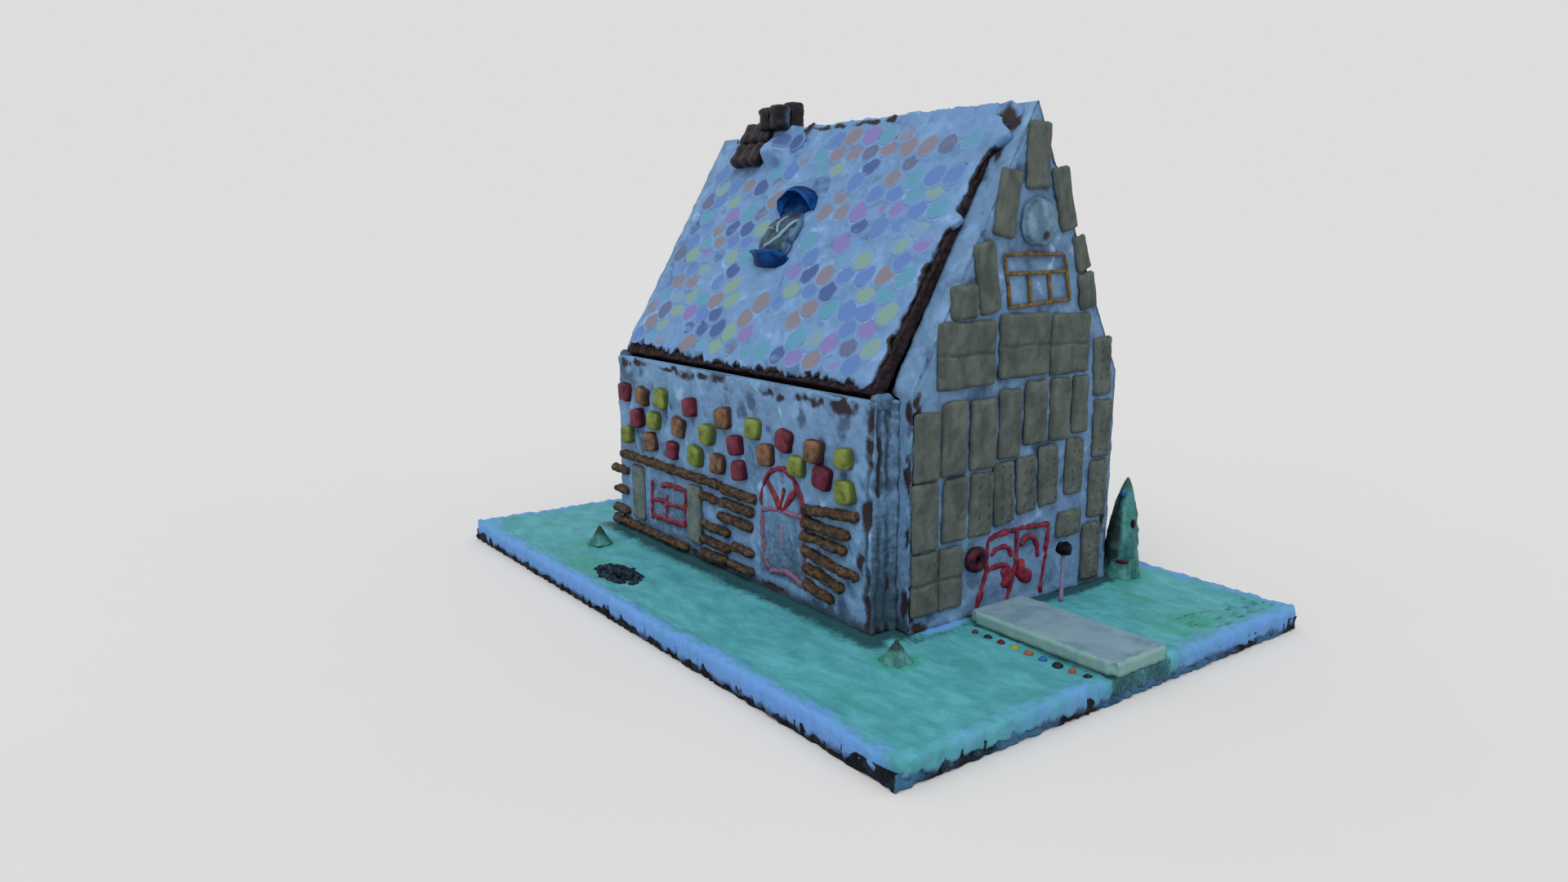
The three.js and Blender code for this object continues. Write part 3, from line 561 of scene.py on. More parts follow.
# Its second mark is painted shade on the tree's side towards the house, and darkens each shrub towards
# its top.
tree_finish = finish(
    "tree_green", [(38, 88, 90), (54, 110, 110), (74, 136, 132)], 9, roughness=0.55,
    bump=(3, 1.0), stretch=(1, 1, 0.4),
    marks=(("tip", (46, 84, 76), 0.5), ("brown", (26, 42, 42), 0.6)))
coal_finish = finish("coal_dark", [(6, 12, 20), (18, 30, 42), (42, 62, 80)], 5,
                     specular=0.1, bump=(1.5, 0.6))
white_sweet = finish("white_sweet", [(72, 98, 124), (88, 118, 143), (112, 144, 168)],
                     16, roughness=0.5, bump=(4, 0.8), marks=(("shade", (26, 36, 50), 0.5),))
PEBBLES = {
    name: finish(f"pebble_{name}", [shade, shade], 3, roughness=0.4, bump=(1.5, 0.3))
    for name, shade in (
        ("dark_red", (78, 24, 40)), ("black", (20, 30, 42)), ("yellow", (140, 138, 56)),
        ("orange", (134, 78, 66)), ("blue", (34, 88, 144)),
    )
}


# ---- board and lawn ----
PATH = {"x": (-69.5, 0), "y": (-377, -220), "thick": 13}
PEBBLE = {"size": 9.5, "first": -241, "pitch": 15.1, "beside": 14}
PEBBLE_ORDER = ("dark_red", "black", "dark_red", "yellow", "orange", "blue", "black", "orange", "black")
TREE = {"x": 156.4, "y": -214.5, "radius": 18, "height": 102, "bulge": 2.3, "blunt": 0.75}
SHRUBS = {
    "shrub_back": {"x": -220, "y": 206, "radius": 12.5, "height": 21, "bulge": 1, "blunt": 0.9},
    "shrub_front": {"x": -182, "y": -247, "radius": 12, "height": 19, "bulge": 1, "blunt": 0.9},
}
LAMP = {"x": 41.5, "y": -233, "height": 60, "radius": 2.2, "head": 13}
COAL = {"x": -258, "y": 90, "wide": 40, "long": 80, "lumps": 130}
LAWN_GRID = {"margin": 26, "fine": 1.7, "coarse": 3.2}
PITTED = {"count": 46, "x": 84, "wide": 112, "y": -325, "deep": 40}
LAWN_SKIRTS = [(-0.5, 17, 1), (-0.5, 13.5, 1.5), (-0.2, 9.5, 3), (0.3, 6.5, 4.5), (1.6, 4.5, 4.5),
               (2.6, 9, 3), (3.5, 14, 0)]


def outside(x, y, span_x, span_y):
    """Distance from a place to a rectangle, 0 inside it."""
    dx = np.maximum(np.maximum(span_x[0] - x, x - span_x[1]), 0)
    dy = np.maximum(np.maximum(span_y[0] - y, y - span_y[1]), 0)
    return np.hypot(dx, dy)


def lawn_places():
    """A grid over the lawn, its corners cut and its edge scalloped, and how far in each lies."""
    half_x, half_y = LAWN["width"] / 2, LAWN["length"] / 2
    x, y = spaced_grid((-half_x, half_x), (-half_y, half_y), **LAWN_GRID)
    u, v = x / half_x, y / half_y
    cut = np.maximum(0, np.abs(u) + np.abs(v) - 1.86) * 21
    scallop = 1.6 + 1.4 * noise((x, y), 5, 3)
    x = u * (half_x - np.abs(u) ** 8 * (scallop + cut))
    y = v * (half_y - np.abs(v) ** 8 * (scallop + cut))
    return x, y, np.minimum(half_x - np.abs(x), half_y - np.abs(y))


def from_house(x, y):
    """Distance from the foot of the walls."""
    side, front = WALL["half"] + 0.5, GABLE["half"] + 1
    return np.minimum(outside(x, y, (-side, side), (WALL_END - 1, WALL_FAR + 1)),
                      outside(x, y, (-front, front), (GABLE["front"] - 1, GABLE_FAR + 1)))


def lawn_pits(x, y):
    """Small holes in the lawn's corner beyond the path, 1 in the middle of each."""
    pits = np.zeros_like(x)
    draw = seeded(29)
    for _ in range(PITTED["count"]):
        pit_x = PITTED["x"] + PITTED["wide"] * next(draw)
        pit_y = PITTED["y"] - PITTED["deep"] * next(draw)
        reach = np.hypot((x - pit_x) / 2.6, y - pit_y)
        pits = np.maximum(pits, near(reach, 1.8 + 1.4 * next(draw)))
    return pits


def lawn_height(x, y, edge, walls, slab, pits):
    """Height over the board: tufted at the rim, drawn up to the walls, low beneath what stands on it."""
    swell = 0.8 * np.sin(x / 37 + 1.2) * np.sin(y / 43) + 0.5 * np.sin(x / 19 + y / 27)
    strokes = rough((x * 1.6, y * 0.8), 13, 11) + 0.6 * ridged((x * 1.4, y * 0.7), 9, 5)
    height = LAWN["thick"] + swell + 2.2 * near(edge - 8, 11) + 0.9 * strokes - 0.4
    tufts = 1.1 * noise((x, y), 3.4, 8) + 1.3 * noise((x, y), 7, 9)
    height = height + near(edge - 6, 10) * tufts - 2.2 * near(edge, 3)
    covered = LAWN["thick"] - 0.6
    height = np.where(walls > 1, height + 2.2 * near(walls - 2, 5), covered)
    return np.where(slab < 1, covered, height) - 1.6 * pits


def lawn_marks(x, y, edge, walls, slab, pits):
    """Where the lawn is greener, blue at its rim, or has painted shade: by the house and the path, and in
    pits.
    """
    hx = x - HOUSE_X
    under_coal = np.hypot((hx - COAL["x"]) / COAL["wide"], (y - COAL["y"]) / COAL["long"]) * 2
    green = np.clip(1.8 * rough((x * 1.5, y * 0.6), 80, 21, 4) - 0.2, 0, 0.7)
    green = green * (1 - near(np.hypot(x + 220, y - 320), 120))
    for plant in (TREE, *SHRUBS.values()):
        reach = np.hypot(hx - plant["x"], y - plant["y"])
        green = np.maximum(green, 1.1 * near(reach, 1.9 * plant["radius"]))
    beside = walls * np.where(np.abs(hx) > WALL["half"] - 0.5, 1, 1.6)
    # Painted shade on the lawn beside the walls and beside the path.
    foot = np.maximum(1.0 * near(beside, 26), 0.6 * near(slab, 7)) + 0.12 * noise((x, y), 12, 4)
    wisps = 0.16 * noise((x, y), 6, 31) + 0.16 * noise((x, y), 17, 32)
    from_left, from_front = x + LAWN["width"] / 2, y + LAWN["length"] / 2
    at_front = unit((1 - from_front / 20) * np.clip(1.3 - from_left / 260, 0.2, 1))
    rim = (0.8 - 0.45 * at_front) - 0.72 * edge / 27 + wisps * near(edge - 12, 12)
    iced_foot = near(y - GABLE["front"] + 5, 7) * near(hx + 98, 34)
    # The pit mark is painted shade in the pits; it also darkens the lawn under the coal.
    return {"green": green * (1 - near(edge, 16)), "foot": foot * (1 - iced_foot),
            "rim": unit(np.maximum(rim * (1 - 0.6 * near(slab, 14)), 0.85 * iced_foot)),
            "pit": np.maximum(0.6 * pits, 0.9 * near(under_coal, 0.85))}


def lawn():
    """Icing spread over the board, hanging raggedly over its edge."""
    x, y, edge = lawn_places()
    hx = x - HOUSE_X
    around = edge, from_house(hx, y), outside(hx, y, PATH["x"], PATH["y"]), lawn_pits(hx, y)
    build = Build()
    build.sheet(on_board, x, y, lawn_height(x, y, *around) + BOARD["thick"] + GAP, LAWN_SKIRTS,
                ragged=1.4, seed=4, **lawn_marks(x, y, *around))
    shade_rim(dress("lawn_icing", build, [lawn_finish], ["ground_icing"]))


def pebbles():
    """Two rows of small sweets, one on each side of the path."""
    build = Build()
    levels = [(-3, 1), (0.4, 1), (1.8, 0.84), (2.8, 0.5), (3.1, 0.1)]
    for n, colour in enumerate(PEBBLE_ORDER):
        for x in (PATH["x"][0] - PEBBLE["beside"], PATH["x"][1] + PEBBLE["beside"]):
            half = PEBBLE["size"] * (0.38 + 0.06 * math.sin(n * 2.7 + x))
            build.mound(on_ground, (x, PEBBLE["first"] - n * PEBBLE["pitch"]), (half, half), levels,
                        12, 2.6, lumps=0.25, seed=n, slot=list(PEBBLES).index(colour))
    dress("pebbles", build, [*PEBBLES.values()], ["ground_icing"])


def shade_rim(mesh):
    """The lawn's hanging edge turns dark towards its lower ends."""
    x, y, z = spots_of(mesh)
    light_above, fade = 14.6, 13
    set_mark(mesh, "under", (light_above - z + 3 * noise((x, y), 6, 61)) / fade)


def board():
    """The dark board, with icing smeared on its front edge."""
    half_x, half_y = BOARD["width"] / 2, BOARD["length"] / 2
    x, y = spaced_grid((-half_x, half_x), (-half_y, half_y), 10, 2, 4)
    build = Build()
    smear = unit(0.62 + 1.1 * rough((x, y), 34, 5)) * (y < -half_y + 1)
    build.sheet(on_board, x, y, np.full_like(x, BOARD["thick"]),
                [(0.3, 10, 0), (0.2, 7, 0), (-0.1, 4, 1.5), (0.2, 1.6, 1.3), (1.2, 0.1, 0), (6, 0, 0)],
                ragged=2.0, seed=6, smear=smear)
    dress("board_slab", build, [board_finish], ["board"])


lawn()
pebbles()
board()


# ---- icing on the walls ----
WINDOW = {"left": -187, "right": -114, "low": 27, "high": 70}
SIDE_DOOR = {"middle": 62, "half": 34, "spring": 84, "rise": 42, "low": 19}
# Bare gingerbread on the side walls: along, z, and half the width and height.
SIDE_BARE = [
    (-245, 197, 14, 6), (-214, 200, 16, 4), (-147, 201, 16, 4), (-112, 197, 20, 5.5),
    (-79, 198, 14, 4), (-52, 199, 14, 4.5), (40, 196, 15, 4.5), (57, 193, 6, 5), (91, 197, 10, 5),
    (112, 196, 12, 6), (150, 197, 18, 9), (186, 172, 5.5, 26), (184, 108, 7, 20), (187, 30, 5, 30),
    (176, 62, 5, 9), (-236, 6, 30, 4), (-170, 5, 40, 3.5), (-60, 5, 46, 4.5), (40, 5, 30, 4),
]
GABLE_BARE = [
    (-130, 196, 5, 17), (-129, 126, 6, 19), (-131, 84, 4.5, 16), (-131, 22, 5, 14),
    (-101, 262, 5, 10), (128, 60, 4, 12), (-126, 4, 14, 5),
]
# Bare places on the gable's left flank: y, z, and half the depth and height.
FLANK_BARE = [(-194, 439, 8, 9), (-189, 415, 6, 9), (-186, 428, 4, 8), (-207, 192, 5, 15),
              (-206, 140, 5, 19), (-207, 88, 3.5, 11), (-205, 26, 5, 13)]
# Crackers on the door gable: x, z, width, height and how many degrees each leans.
CRACKER_THICK = 5.5
CRACKER_ROWS = {
    "left": [(-119.5, 165, 30, 60, 0), (-120, 103.5, 30, 61, 2), (-119, 43.5, 31, 57, 0)],
    "second": [(-87, 169, 30, 66, 0), (-84, 105, 29, 58, -1), (-87.5, 43.5, 29, 57, 0)],
    "upper": [(-51, 169, 32, 63, 0), (-17, 175, 28, 64, 0), (17.5, 182, 30, 59, 0),
              (51.5, 182, 27, 59, 0), (80.5, 184, 22, 56, 0)],
    "middle": [(-51, 105, 28, 59, -1), (-22, 111, 25, 58, 4), (8, 115, 25, 54, 4),
               (38.5, 120, 25, 58, 3), (76, 124, 24, 56, 0)],
    "right": [(111, 218, 24, 56, 4), (116, 157, 26, 57, 0), (114, 97, 26, 57, 0),
              (108, 34, 26, 58, 0), (73, 68, 34, 25, 0)],
    "bricks": [(-74.5, 241, 70, 58, 0), (-1, 245, 66, 57, 0), (62, 243, 54, 57, 0)],
    "peak": [(-80, 286, 32, 30, 2), (-53, 306, 25, 62, 11), (-31, 369, 26, 58, -9),
             (6.5, 411, 28, 58, 0), (44, 374, 21, 58, 17), (71, 326, 17, 33, 20),
             (82, 291, 21, 34, 13)],
}


def bare_mark(a, b, spots, seed):
    """How bare the icing is: 1 in the middle of a spot, fading to ragged edges."""
    mark = np.zeros(np.broadcast(a, b).shape)
    for middle_a, middle_b, half_a, half_b in spots:
        reach = np.hypot((a - middle_a) / half_a, (b - middle_b) / half_b)
        mark = np.maximum(mark, near(reach, 1.15) * (0.95 + 0.55 * noise((a, b), 6, seed)))
    return unit(mark)


def between_plates(x, z):
    """How close a place on the door gable is to the nearest cracker."""
    close = np.zeros(np.broadcast(x, z).shape)
    for middle_x, middle_z, wide, tall, _ in itertools.chain(*CRACKER_ROWS.values()):
        spans = (middle_x - wide / 2, middle_x + wide / 2), (middle_z - tall / 2, middle_z + tall / 2)
        close = np.maximum(close, near(outside(x, z, *spans), 3))
    return close


def spread_icing(a, b, seed):
    """The relief that a knife leaves in a coat of icing."""
    relief = 1.3 * rough((a, b), 30, seed) + 0.8 * rough((a, b), 10, seed + 5)
    strokes = 1.2 * ridged((a + 0.5 * b, 0.7 * b - 0.3 * a), 20, seed + 9)
    return relief + strokes + 0.4 * ridged((a, b), 8, seed + 11) - 0.7


def worked(relief):
    """Painted highlight on the crests and painted shade in the hollows of spread icing."""
    return {"crest": unit((relief - 0.25) / 1.7), "hollow": unit(-relief / 1.9)}


RIB_DEPTH = 2.8  # of the grooves between the ribs


def corner_ribs(offset, z):
    """Upright ribs of icing on a wall's end, with a fillet where they meet the gable."""
    bent = offset + 4.4 * rough((z, offset), 30, 15) + 1.8 * noise((z, offset), 7, 16)
    worn = np.clip(0.8 + 0.9 * noise((z, offset / 3), 19, 22), 0.15, 1.15)
    fillet = 3.2 * near(offset - 27, 5) * (1 + 0.7 * noise((z, offset), 11, 23))
    return -RIB_DEPTH * (near(bent - 8, 3.6) + near(bent - 18, 4.0)) * worn + fillet


def inside_box(a, b, span_a, span_b, soft):
    """1 well inside a box on a face, 0 outside it."""
    return 1 - unit(outside(a, b, span_a, span_b) / soft)


def coat_plan(inner, step):
    """The outline of a long wall's coat, round both ends, and the way that it faces."""
    half, radius = WALL["half"], 3
    ends = np.arange(inner, half - radius, step)
    turn = np.linspace(0, math.pi / 2, 4)[1:-1]
    run = np.arange(WALL_END + radius, MIDDLE_Y, step)
    x = np.concatenate([ends, half - radius + radius * np.sin(turn), np.full(len(run), half)])
    y = np.concatenate([np.full(len(ends), WALL_END), WALL_END + radius - radius * np.cos(turn), run])
    normal_x = np.concatenate([0 * ends, np.sin(turn), np.ones(len(run))])
    normal_y = np.concatenate([0 * ends - 1, -np.cos(turn), 0 * run])
    x, normal_x = (np.concatenate([row, row[::-1]]) for row in (x, normal_x))
    y = np.concatenate([y, (2 * MIDDLE_Y - y)[::-1]])
    normal_y = np.concatenate([normal_y, -normal_y[::-1]])
    return x, y, normal_x, normal_y


def side_shade(s, z, on_end, in_groove, band):
    """Shade at the foot, in the grooves and on the plain icing of the window and the door."""
    shade = 0.5 * near(z - 2, 6) + 0.34 * unit(1 - z / 120) + 0.46 * on_end
    shade = np.maximum(shade, on_end * 0.75 * in_groove + 0.8 * band)
    window = (WINDOW["left"], WINDOW["right"]), (WINDOW["low"], WINDOW["high"])
    hub, half = SIDE_DOOR["middle"], SIDE_DOOR["half"]
    door = (hub - half, hub + half), (SIDE_DOOR["low"], SIDE_DOOR["spring"] + 22)
    under_window = (WINDOW["left"] - 20, WINDOW["right"] + 14), (12, WINDOW["low"] - 4)
    dusk = 0.3 * inside_box(s, z, *window, 5) + 0.3 * inside_box(s, z, *door, 5)
    return unit(shade + ~on_end * (dusk + 0.2 * inside_box(s, z, *under_window, 6)))


def side_coat(way, step):
    """The coat of one long wall, wrapped round both of its ends."""
    half = WALL["half"]
    inner = half - 26
    x, y, normal_x, normal_y = coat_plan(inner, step)
    levels = np.linspace(GAP, WALL["top"], int(WALL["top"] / step))
    s, z = np.meshgrid(-y, levels)
    on_end = np.abs(normal_y) > 0.5
    offset = half - np.abs(x) + 0 * z
    relief = spread_icing(s, z, 40 + way)
    bare = bare_mark(s, z, SIDE_BARE, 7) * ~on_end
    grooves = np.where(on_end, corner_ribs(offset, z), 0)
    run_up = s + WALL_END + 4 * noise((z, 0 * z), 17, 18)
    # Bread shows in a band just behind the front corner, under painted shade, and the corner's icing
    # stands out.
    band = ~on_end * near(run_up + 8, 4.5) * unit(0.95 + 0.6 * noise((s, z), 16, 17))
    corner = near(run_up + 1, 4.5) * (0.6 + 0.8 * noise((z, s), 9, 19))
    depth = relief + grooves + 1.6 * near(z, 7) - 2.2 * bare + 1.6 * corner * ~on_end - 1.6 * band
    streaks = on_end * unit(1.6 * noise((offset, z / 3), 7, 12))
    bare = np.maximum(bare, streaks * near(grooves + RIB_DEPTH, 1.4))
    bare = np.maximum(bare, band * unit(0.3 + 1.5 * noise((s, z / 2.5), 8, 13)))
    shade = side_shade(s, z, on_end, near(grooves + RIB_DEPTH, 1.6), band)
    ragged = (2 + 2.4 * noise((s, offset), 6, 24)) * unit((z - 195) / 10)
    outer = on_ground(way * (x + normal_x * depth), y + normal_y * depth, z - ragged)
    back = [(inner, WALL_FAR - ICING), (half - ICING, WALL_FAR - ICING),
            (half - ICING, WALL_END + ICING), (inner, WALL_END + ICING)]
    behind = np.stack([on_ground(way * bx, by, levels) for bx, by in back], axis=1)
    build = Build()
    build.loft(np.concatenate([outer, behind], axis=1),
               **closed_behind(bare=bare, shade=shade, **worked(relief)))
    for end, out_way in ((WALL_END, -1), (WALL_FAR, 1)):
        corner_lump(build, way, end, out_way)
    return build


def corner_lump(build, way, end, out_way):
    """A lump of icing that fills the corner between a wall's end and the roof."""
    def face(a, b, out):
        return on_ground(way * a, end + out_way * out, b)
    # Painted shade lies all over the lump.
    build.mound(face, (WALL["half"] - 13, 204), (12.5, 8), [(-7, 1), (-4, 1), (-2.4, 0.85), (-2, 0.5)],
                24, 2.8, lumps=0.3, grain=7, seed=25, shade=0.55, hollow=0.3)


def gable_coat(face_way, step, seed):
    """The coat of one gable, wrapped round its flanks. face_way is -1 for the front."""
    front, half = GABLE["front"], GABLE["half"]
    rise = GABLE["apex"] - GABLE["shoulder"]
    levels = np.linspace(GAP, GABLE["apex"] - 0.5, int(GABLE["apex"] / step))[:, None]
    share = np.clip((levels - GABLE["shoulder"]) / rise, 0, 0.996)
    left = -half + share * (half + GABLE["lean"]) - 3 * (face_way > 0) * (1 - share)
    right = half - share * (half - GABLE["lean"])
    wide = right - left
    rear = np.where(levels > GABLE["shoulder"] - 5, ROOF["front"] - GAP, front + ICING + BREAD)
    flank, across = np.linspace(0, 1, 9), np.linspace(0, 1, int(2 * half / step))
    side = np.concatenate([0 * flank - 1, 0 * across, 0 * flank + 1])
    on_flank = np.abs(side)
    on_face = 1 - on_flank
    y_flank = rear + (front - rear) * flank
    x = np.hstack([0 * flank + left, left + wide * across, 0 * flank + right])
    y = np.hstack([y_flank, 0 * across + front + 0 * left, y_flank[:, ::-1]])
    z = levels + 0 * x
    run = math.hypot(rise, half)
    sloping = share > 0
    normal_x = side * np.where(sloping, rise / run, 1)
    normal_z = on_flank * np.where(sloping, half / run, 0)
    relief = spread_icing(x + (y - front) * side, z, seed)
    bare = bare_mark(x, z, GABLE_BARE, 3) * on_face
    depth = relief * np.clip(wide / 60, 0.1, 1) - 2.0 * bare + 1.6 * near(z, 7) * on_face
    depth = depth + on_face * -1.2 * near(np.minimum(x - left, right - x), 2.5)
    pad = np.minimum(ICING, wide * 0.3)
    inner_y = np.minimum(front + ICING, rear - 1)
    px = np.hstack([x + normal_x * depth, right - pad, right - pad, left + pad, left + pad])
    py = np.hstack([y - on_face * depth, rear, inner_y, inner_y, rear])
    pz = np.hstack([z + normal_z * np.minimum(depth, 0.6), *[levels] * 4])
    shade = 0.45 * near(z - 2, 7) + on_flank * unit(0.55 - z / 500)
    if face_way < 0:
        shade = shade + 0.4 * on_face * between_plates(x, z)
        bare = np.maximum(bare, bare_mark(y, z, FLANK_BARE, 8) * (side < 0))
    else:
        py = 2 * MIDDLE_Y - py
    build = Build()
    build.loft(on_ground(px, py, pz), **closed_behind(bare=bare, shade=shade, **worked(relief)))
    return build


# ---- toppings on the side walls ----
SWEET = {"wide": 24, "tall": 23, "deep": 8}
SWEET_ROWS = [
    ("ROYROYROY", [(-241, 164), (-199, 164), (-159, 166), (-99, 164), (-34, 161), (18, 158),
                   (69, 154), (114, 151), (156, 151)]),
    ("RYOYROYR", [(-213, 137), (-175, 139), (-122, 139), (-64, 140), (-12, 137), (39, 135),
                  (89, 133), (127, 129)]),
    ("YORYORY", [(-236, 115), (-183, 114), (-135, 112), (-87, 114), (-45, 112), (-7, 112),
                 (158, 122)]),
]
RODS = [
    (-253, -40, 90, 90), (-37, 21, 88, 87),
    (-274, -239, 70, 70), (-268, -241, 46, 45), (-272, -239, 22, 21),
    (-274, -216, 8, 8), (-221, -106, 8, 8),
    (-78, -48, 73, 72), (-42, 17, 74, 73), (-45, 15, 58, 57), (-78, -25, 43, 42),
    (-78, -25, 26, 25), (-78, -29, 11, 12), (-21, 17, 31, 30), (-27, 17, 12, 12),
    (98, 175, 94, 102), (98, 164, 83, 83), (95, 160, 69, 68), (97, 176, 56, 48),
    (100, 156, 40, 32), (100, 143, 25, 18),
]
SHUTTERS = {"shutter_back": (-229, -203), "shutter_front": (-106, -80)}
SHUTTER = {"low": 17, "high": 81, "thick": 5}


def side_lines():
    """Red lines piped on a side wall, each with its width and how faded it is."""
    left, right = WINDOW["left"], WINDOW["right"]
    low, high = WINDOW["low"], WINDOW["high"]
    middle = (left + right) / 2 - 3
    lines = [
        ([(left, low - 3), (left + 1, high - 1)], 5, 0.0), ([(right, low + 2), (right, high)], 5, 0.0),
        ([(left + 20, high - 5), (left + 32, high), (right + 2, high)], 5.5, 0.1),
        ([(left, 47), (middle, 50)], 5.5, 0.0), ([(middle, 48), (right, 50)], 5, 0.05),
        ([(left, low + 1), (middle + 8, low + 2), (right, low + 4)], 6, 0.1),
        ([(middle - 1, low), (middle, 58)], 5, 0.1),
    ]
    hub, half = SIDE_DOOR["middle"], SIDE_DOOR["half"]
    spring, rise, foot = SIDE_DOOR["spring"], SIDE_DOOR["rise"], SIDE_DOOR["low"]
    angles = np.linspace(0, math.pi, 13)
    arch = [(hub - half * math.cos(t), spring + rise * math.sin(t)) for t in angles]
    lines += [
        (arch, 5, 0.0), ([(hub, spring), (hub - 26, spring + 29)], 5.5, 0.0),
        ([(hub, spring + 2), (hub - 9, spring + 13)], 10, 0.0),
        ([(hub, spring), (hub + 27, spring + 31)], 5.5, 0.0),
        ([(hub, spring), (hub + 3, spring + 24)], 4, 0.15),
        ([(hub - half, spring - 5), (hub - 15, spring), (hub + half, spring + 1)], 5, 0.5),
        ([(hub, spring - 12), (hub + 1, foot + 28)], 4, 0.7),
        ([(hub - half + 2, spring - 6), (hub - half + 4, foot + 14), (hub - 20, foot + 3)], 4.5, 0.45),
        ([(hub + half, spring - 2), (hub + half, 42), (hub + half + 4, foot - 4)], 5, 0.5),
        ([(hub - 20, foot + 1), (hub + 8, foot + 8), (hub + half, foot)], 5.5, 0.5),
    ]
    return lines


def sweet_levels(deep):
    """A square sweet's heights, and its share of full size at each."""
    return [(-2, 0.96), (1, 1), (deep * 0.6, 0.98), (deep * 0.86, 0.9), (deep, 0.74), (deep * 1.03, 0.3)]


def plate(build, face, middle, size, lean, thick, lift, seed, scored=False, pricked=0.35, step=1.5):
    """A baked plate: pillowed, with soft edges, pricked holes and a scored line."""
    wide, tall = size
    u, v = np.meshgrid(np.linspace(-1, 1, int(wide / step)), np.linspace(-1, 1, int(tall / step)))
    x, y = u * wide / 2, v * tall / 2
    pull = 1.6 * np.abs(u) ** 9 * np.abs(v) ** 9
    edge = np.minimum(wide / 2 - np.abs(x), tall / 2 - np.abs(y))
    chip = near(edge, 4) * (0.3 + 1.0 * noise((x + seed * 50, y), 9, seed))
    length = np.maximum(np.hypot(x, y), 1)
    a = x - x / length * (pull + chip)
    b = y - y / length * (pull + chip)
    soft = np.sqrt(1 - (1 - unit(edge / 4.5)) ** 2)
    out = thick * (0.35 + 0.65 * soft) + 0.9 * rough((x + seed * 70, y), 20, seed)
    out = out + 0.5 * noise((x, y + seed * 30), 5, seed) * soft
    holes = np.zeros_like(x)
    draw = seeded(seed + 5)
    rows = max(1, round(tall / 10))
    for row in range(rows):
        for side in (-1, 1) if wide > 20 else (0,):
            hole_y = (row + 0.5) * tall / rows - tall / 2
            reach = np.hypot((x - side * wide * 0.2 - 3 * next(draw)) * 1.4, y - hole_y - 4 * next(draw))
            holes = np.maximum(holes, near(reach, 1.7) * unit(pricked + 0.7 * next(draw) - 0.2))
    out = out - 1.2 * holes
    groove = near(y + 0.8 * np.sin(x / 6 + seed), 1.4) if scored else 0 * x
    out = out - 1.7 * groove
    cos, sin = math.cos(math.radians(lean)), math.sin(math.radians(lean))
    a, b = middle[0] + a * cos - b * sin, middle[1] + a * sin + b * cos
    rim = 0.5 * near(edge, 1.8) + 0.6 * groove + 0.25 * noise((x + seed * 20, y), 14, seed)
    build.sheet(face, a, b, out + lift, [(-0.2, thick * 0.25 + lift, 0), (0.1, lift, 0)],
                edge=unit(rim), hole=holes)


def side_sweets(suffix, face, nodes):
    """Rows of square sweets under the eave, with painted shade round their sides."""
    build = Build()
    for row, (colours, places) in enumerate(SWEET_ROWS):
        for n, (letter, place) in enumerate(zip(colours, places)):
            size = 0.465 + 0.025 * math.sin(n * 3.7 + row * 2)
            build.mound(face, place, (SWEET["wide"] * size, SWEET["tall"] * size),
                        sweet_levels(SWEET["deep"] + 0.8 * math.sin(n * 2 + row)), 28, 4.6,
                        turn=0.2 * math.sin(n * 5 + row), lumps=0.12, grain=10, seed=n + row * 9,
                        slot=list(SWEETS).index(letter), mark="share")
    mesh = dress(f"sweets_{suffix}", build, [*SWEETS.values()], nodes)
    x, y, z = spots_of(mesh)
    # Painted shade round each sweet's sides, by its share of full size.
    set_mark(mesh, "side", 4.5 * read_mark(mesh, "share") - 3.7 + 0.3 * noise((x, y, z), 8, 6))


def side_rods(suffix, face, nodes):
    """Pretzel rods laid as timbers, iced in places."""
    build = Build()
    for n, (start, end, z0, z1) in enumerate(RODS):
        bend = 1.6 * math.sin(n * 3.1)
        path = [(start, z0), ((start + end) / 2, (z0 + z1) / 2 + bend), (end, z1)]
        build.strand(face, path, 9.6 + 0.9 * math.sin(n * 1.7), 11, lift=2.5, sides=12, lumps=0.34,
                     taper=0.25, seed=n)
    mesh = dress(f"rods_{suffix}", build, [pretzel], nodes)
    x, y, z = spots_of(mesh)
    set_mark(mesh, "iced", 0.12 + 0.45 * noise((x, y, z), 9, 6) + 0.2 * noise((x, y, z), 30, 7))


def side_piping(suffix, face, nodes):
    """The window and the arched door, piped in red."""
    build = Build()
    for n, (path, wide, faded) in enumerate(side_lines()):
        build.strand(face, path, wide, 3.4, lift=0.4, sides=10, lumps=0.55, taper=0.3, step=1.6,
                     seed=n, faded=faded)
    dress(f"piping_{suffix}", build, [piped_red], nodes)


def side_shutters(suffix, face, nodes):
    """Two crackers beside the window. On the right wall they are part of its icing's node."""
    for n, (name, (start, end)) in enumerate(SHUTTERS.items()):
        build = Build()
        middle = ((start + end) / 2, (SHUTTER["low"] + SHUTTER["high"]) / 2)
        size = (end - start, SHUTTER["high"] - SHUTTER["low"])
        plate(build, face, middle, size, 0, SHUTTER["thick"] - 0.8, GAP, 60 + n)
        # The shutters take the cracker with painted light.
        dress(f"{name}_{suffix}", build, [painted_lit_cracker], [name] if suffix == "left" else nodes)


def dress_side(way, step):
    suffix = SIDE_NAMES[way]
    nodes = [f"icing_{suffix}"]
    dress(f"coat_{suffix}", side_coat(way, step), [wall_ice], nodes)
    for topping in (side_sweets, side_rods, side_piping, side_shutters):
        topping(suffix, side_face(way), nodes)


dress_side(-1, 2.2)
dress_side(1, 3.0)
dress("coat_front", gable_coat(-1, 2.2, 80), [gable_ice], ["icing_front"])
dress("coat_back", gable_coat(1, 3.0, 90), [gable_ice], ["icing_back"])


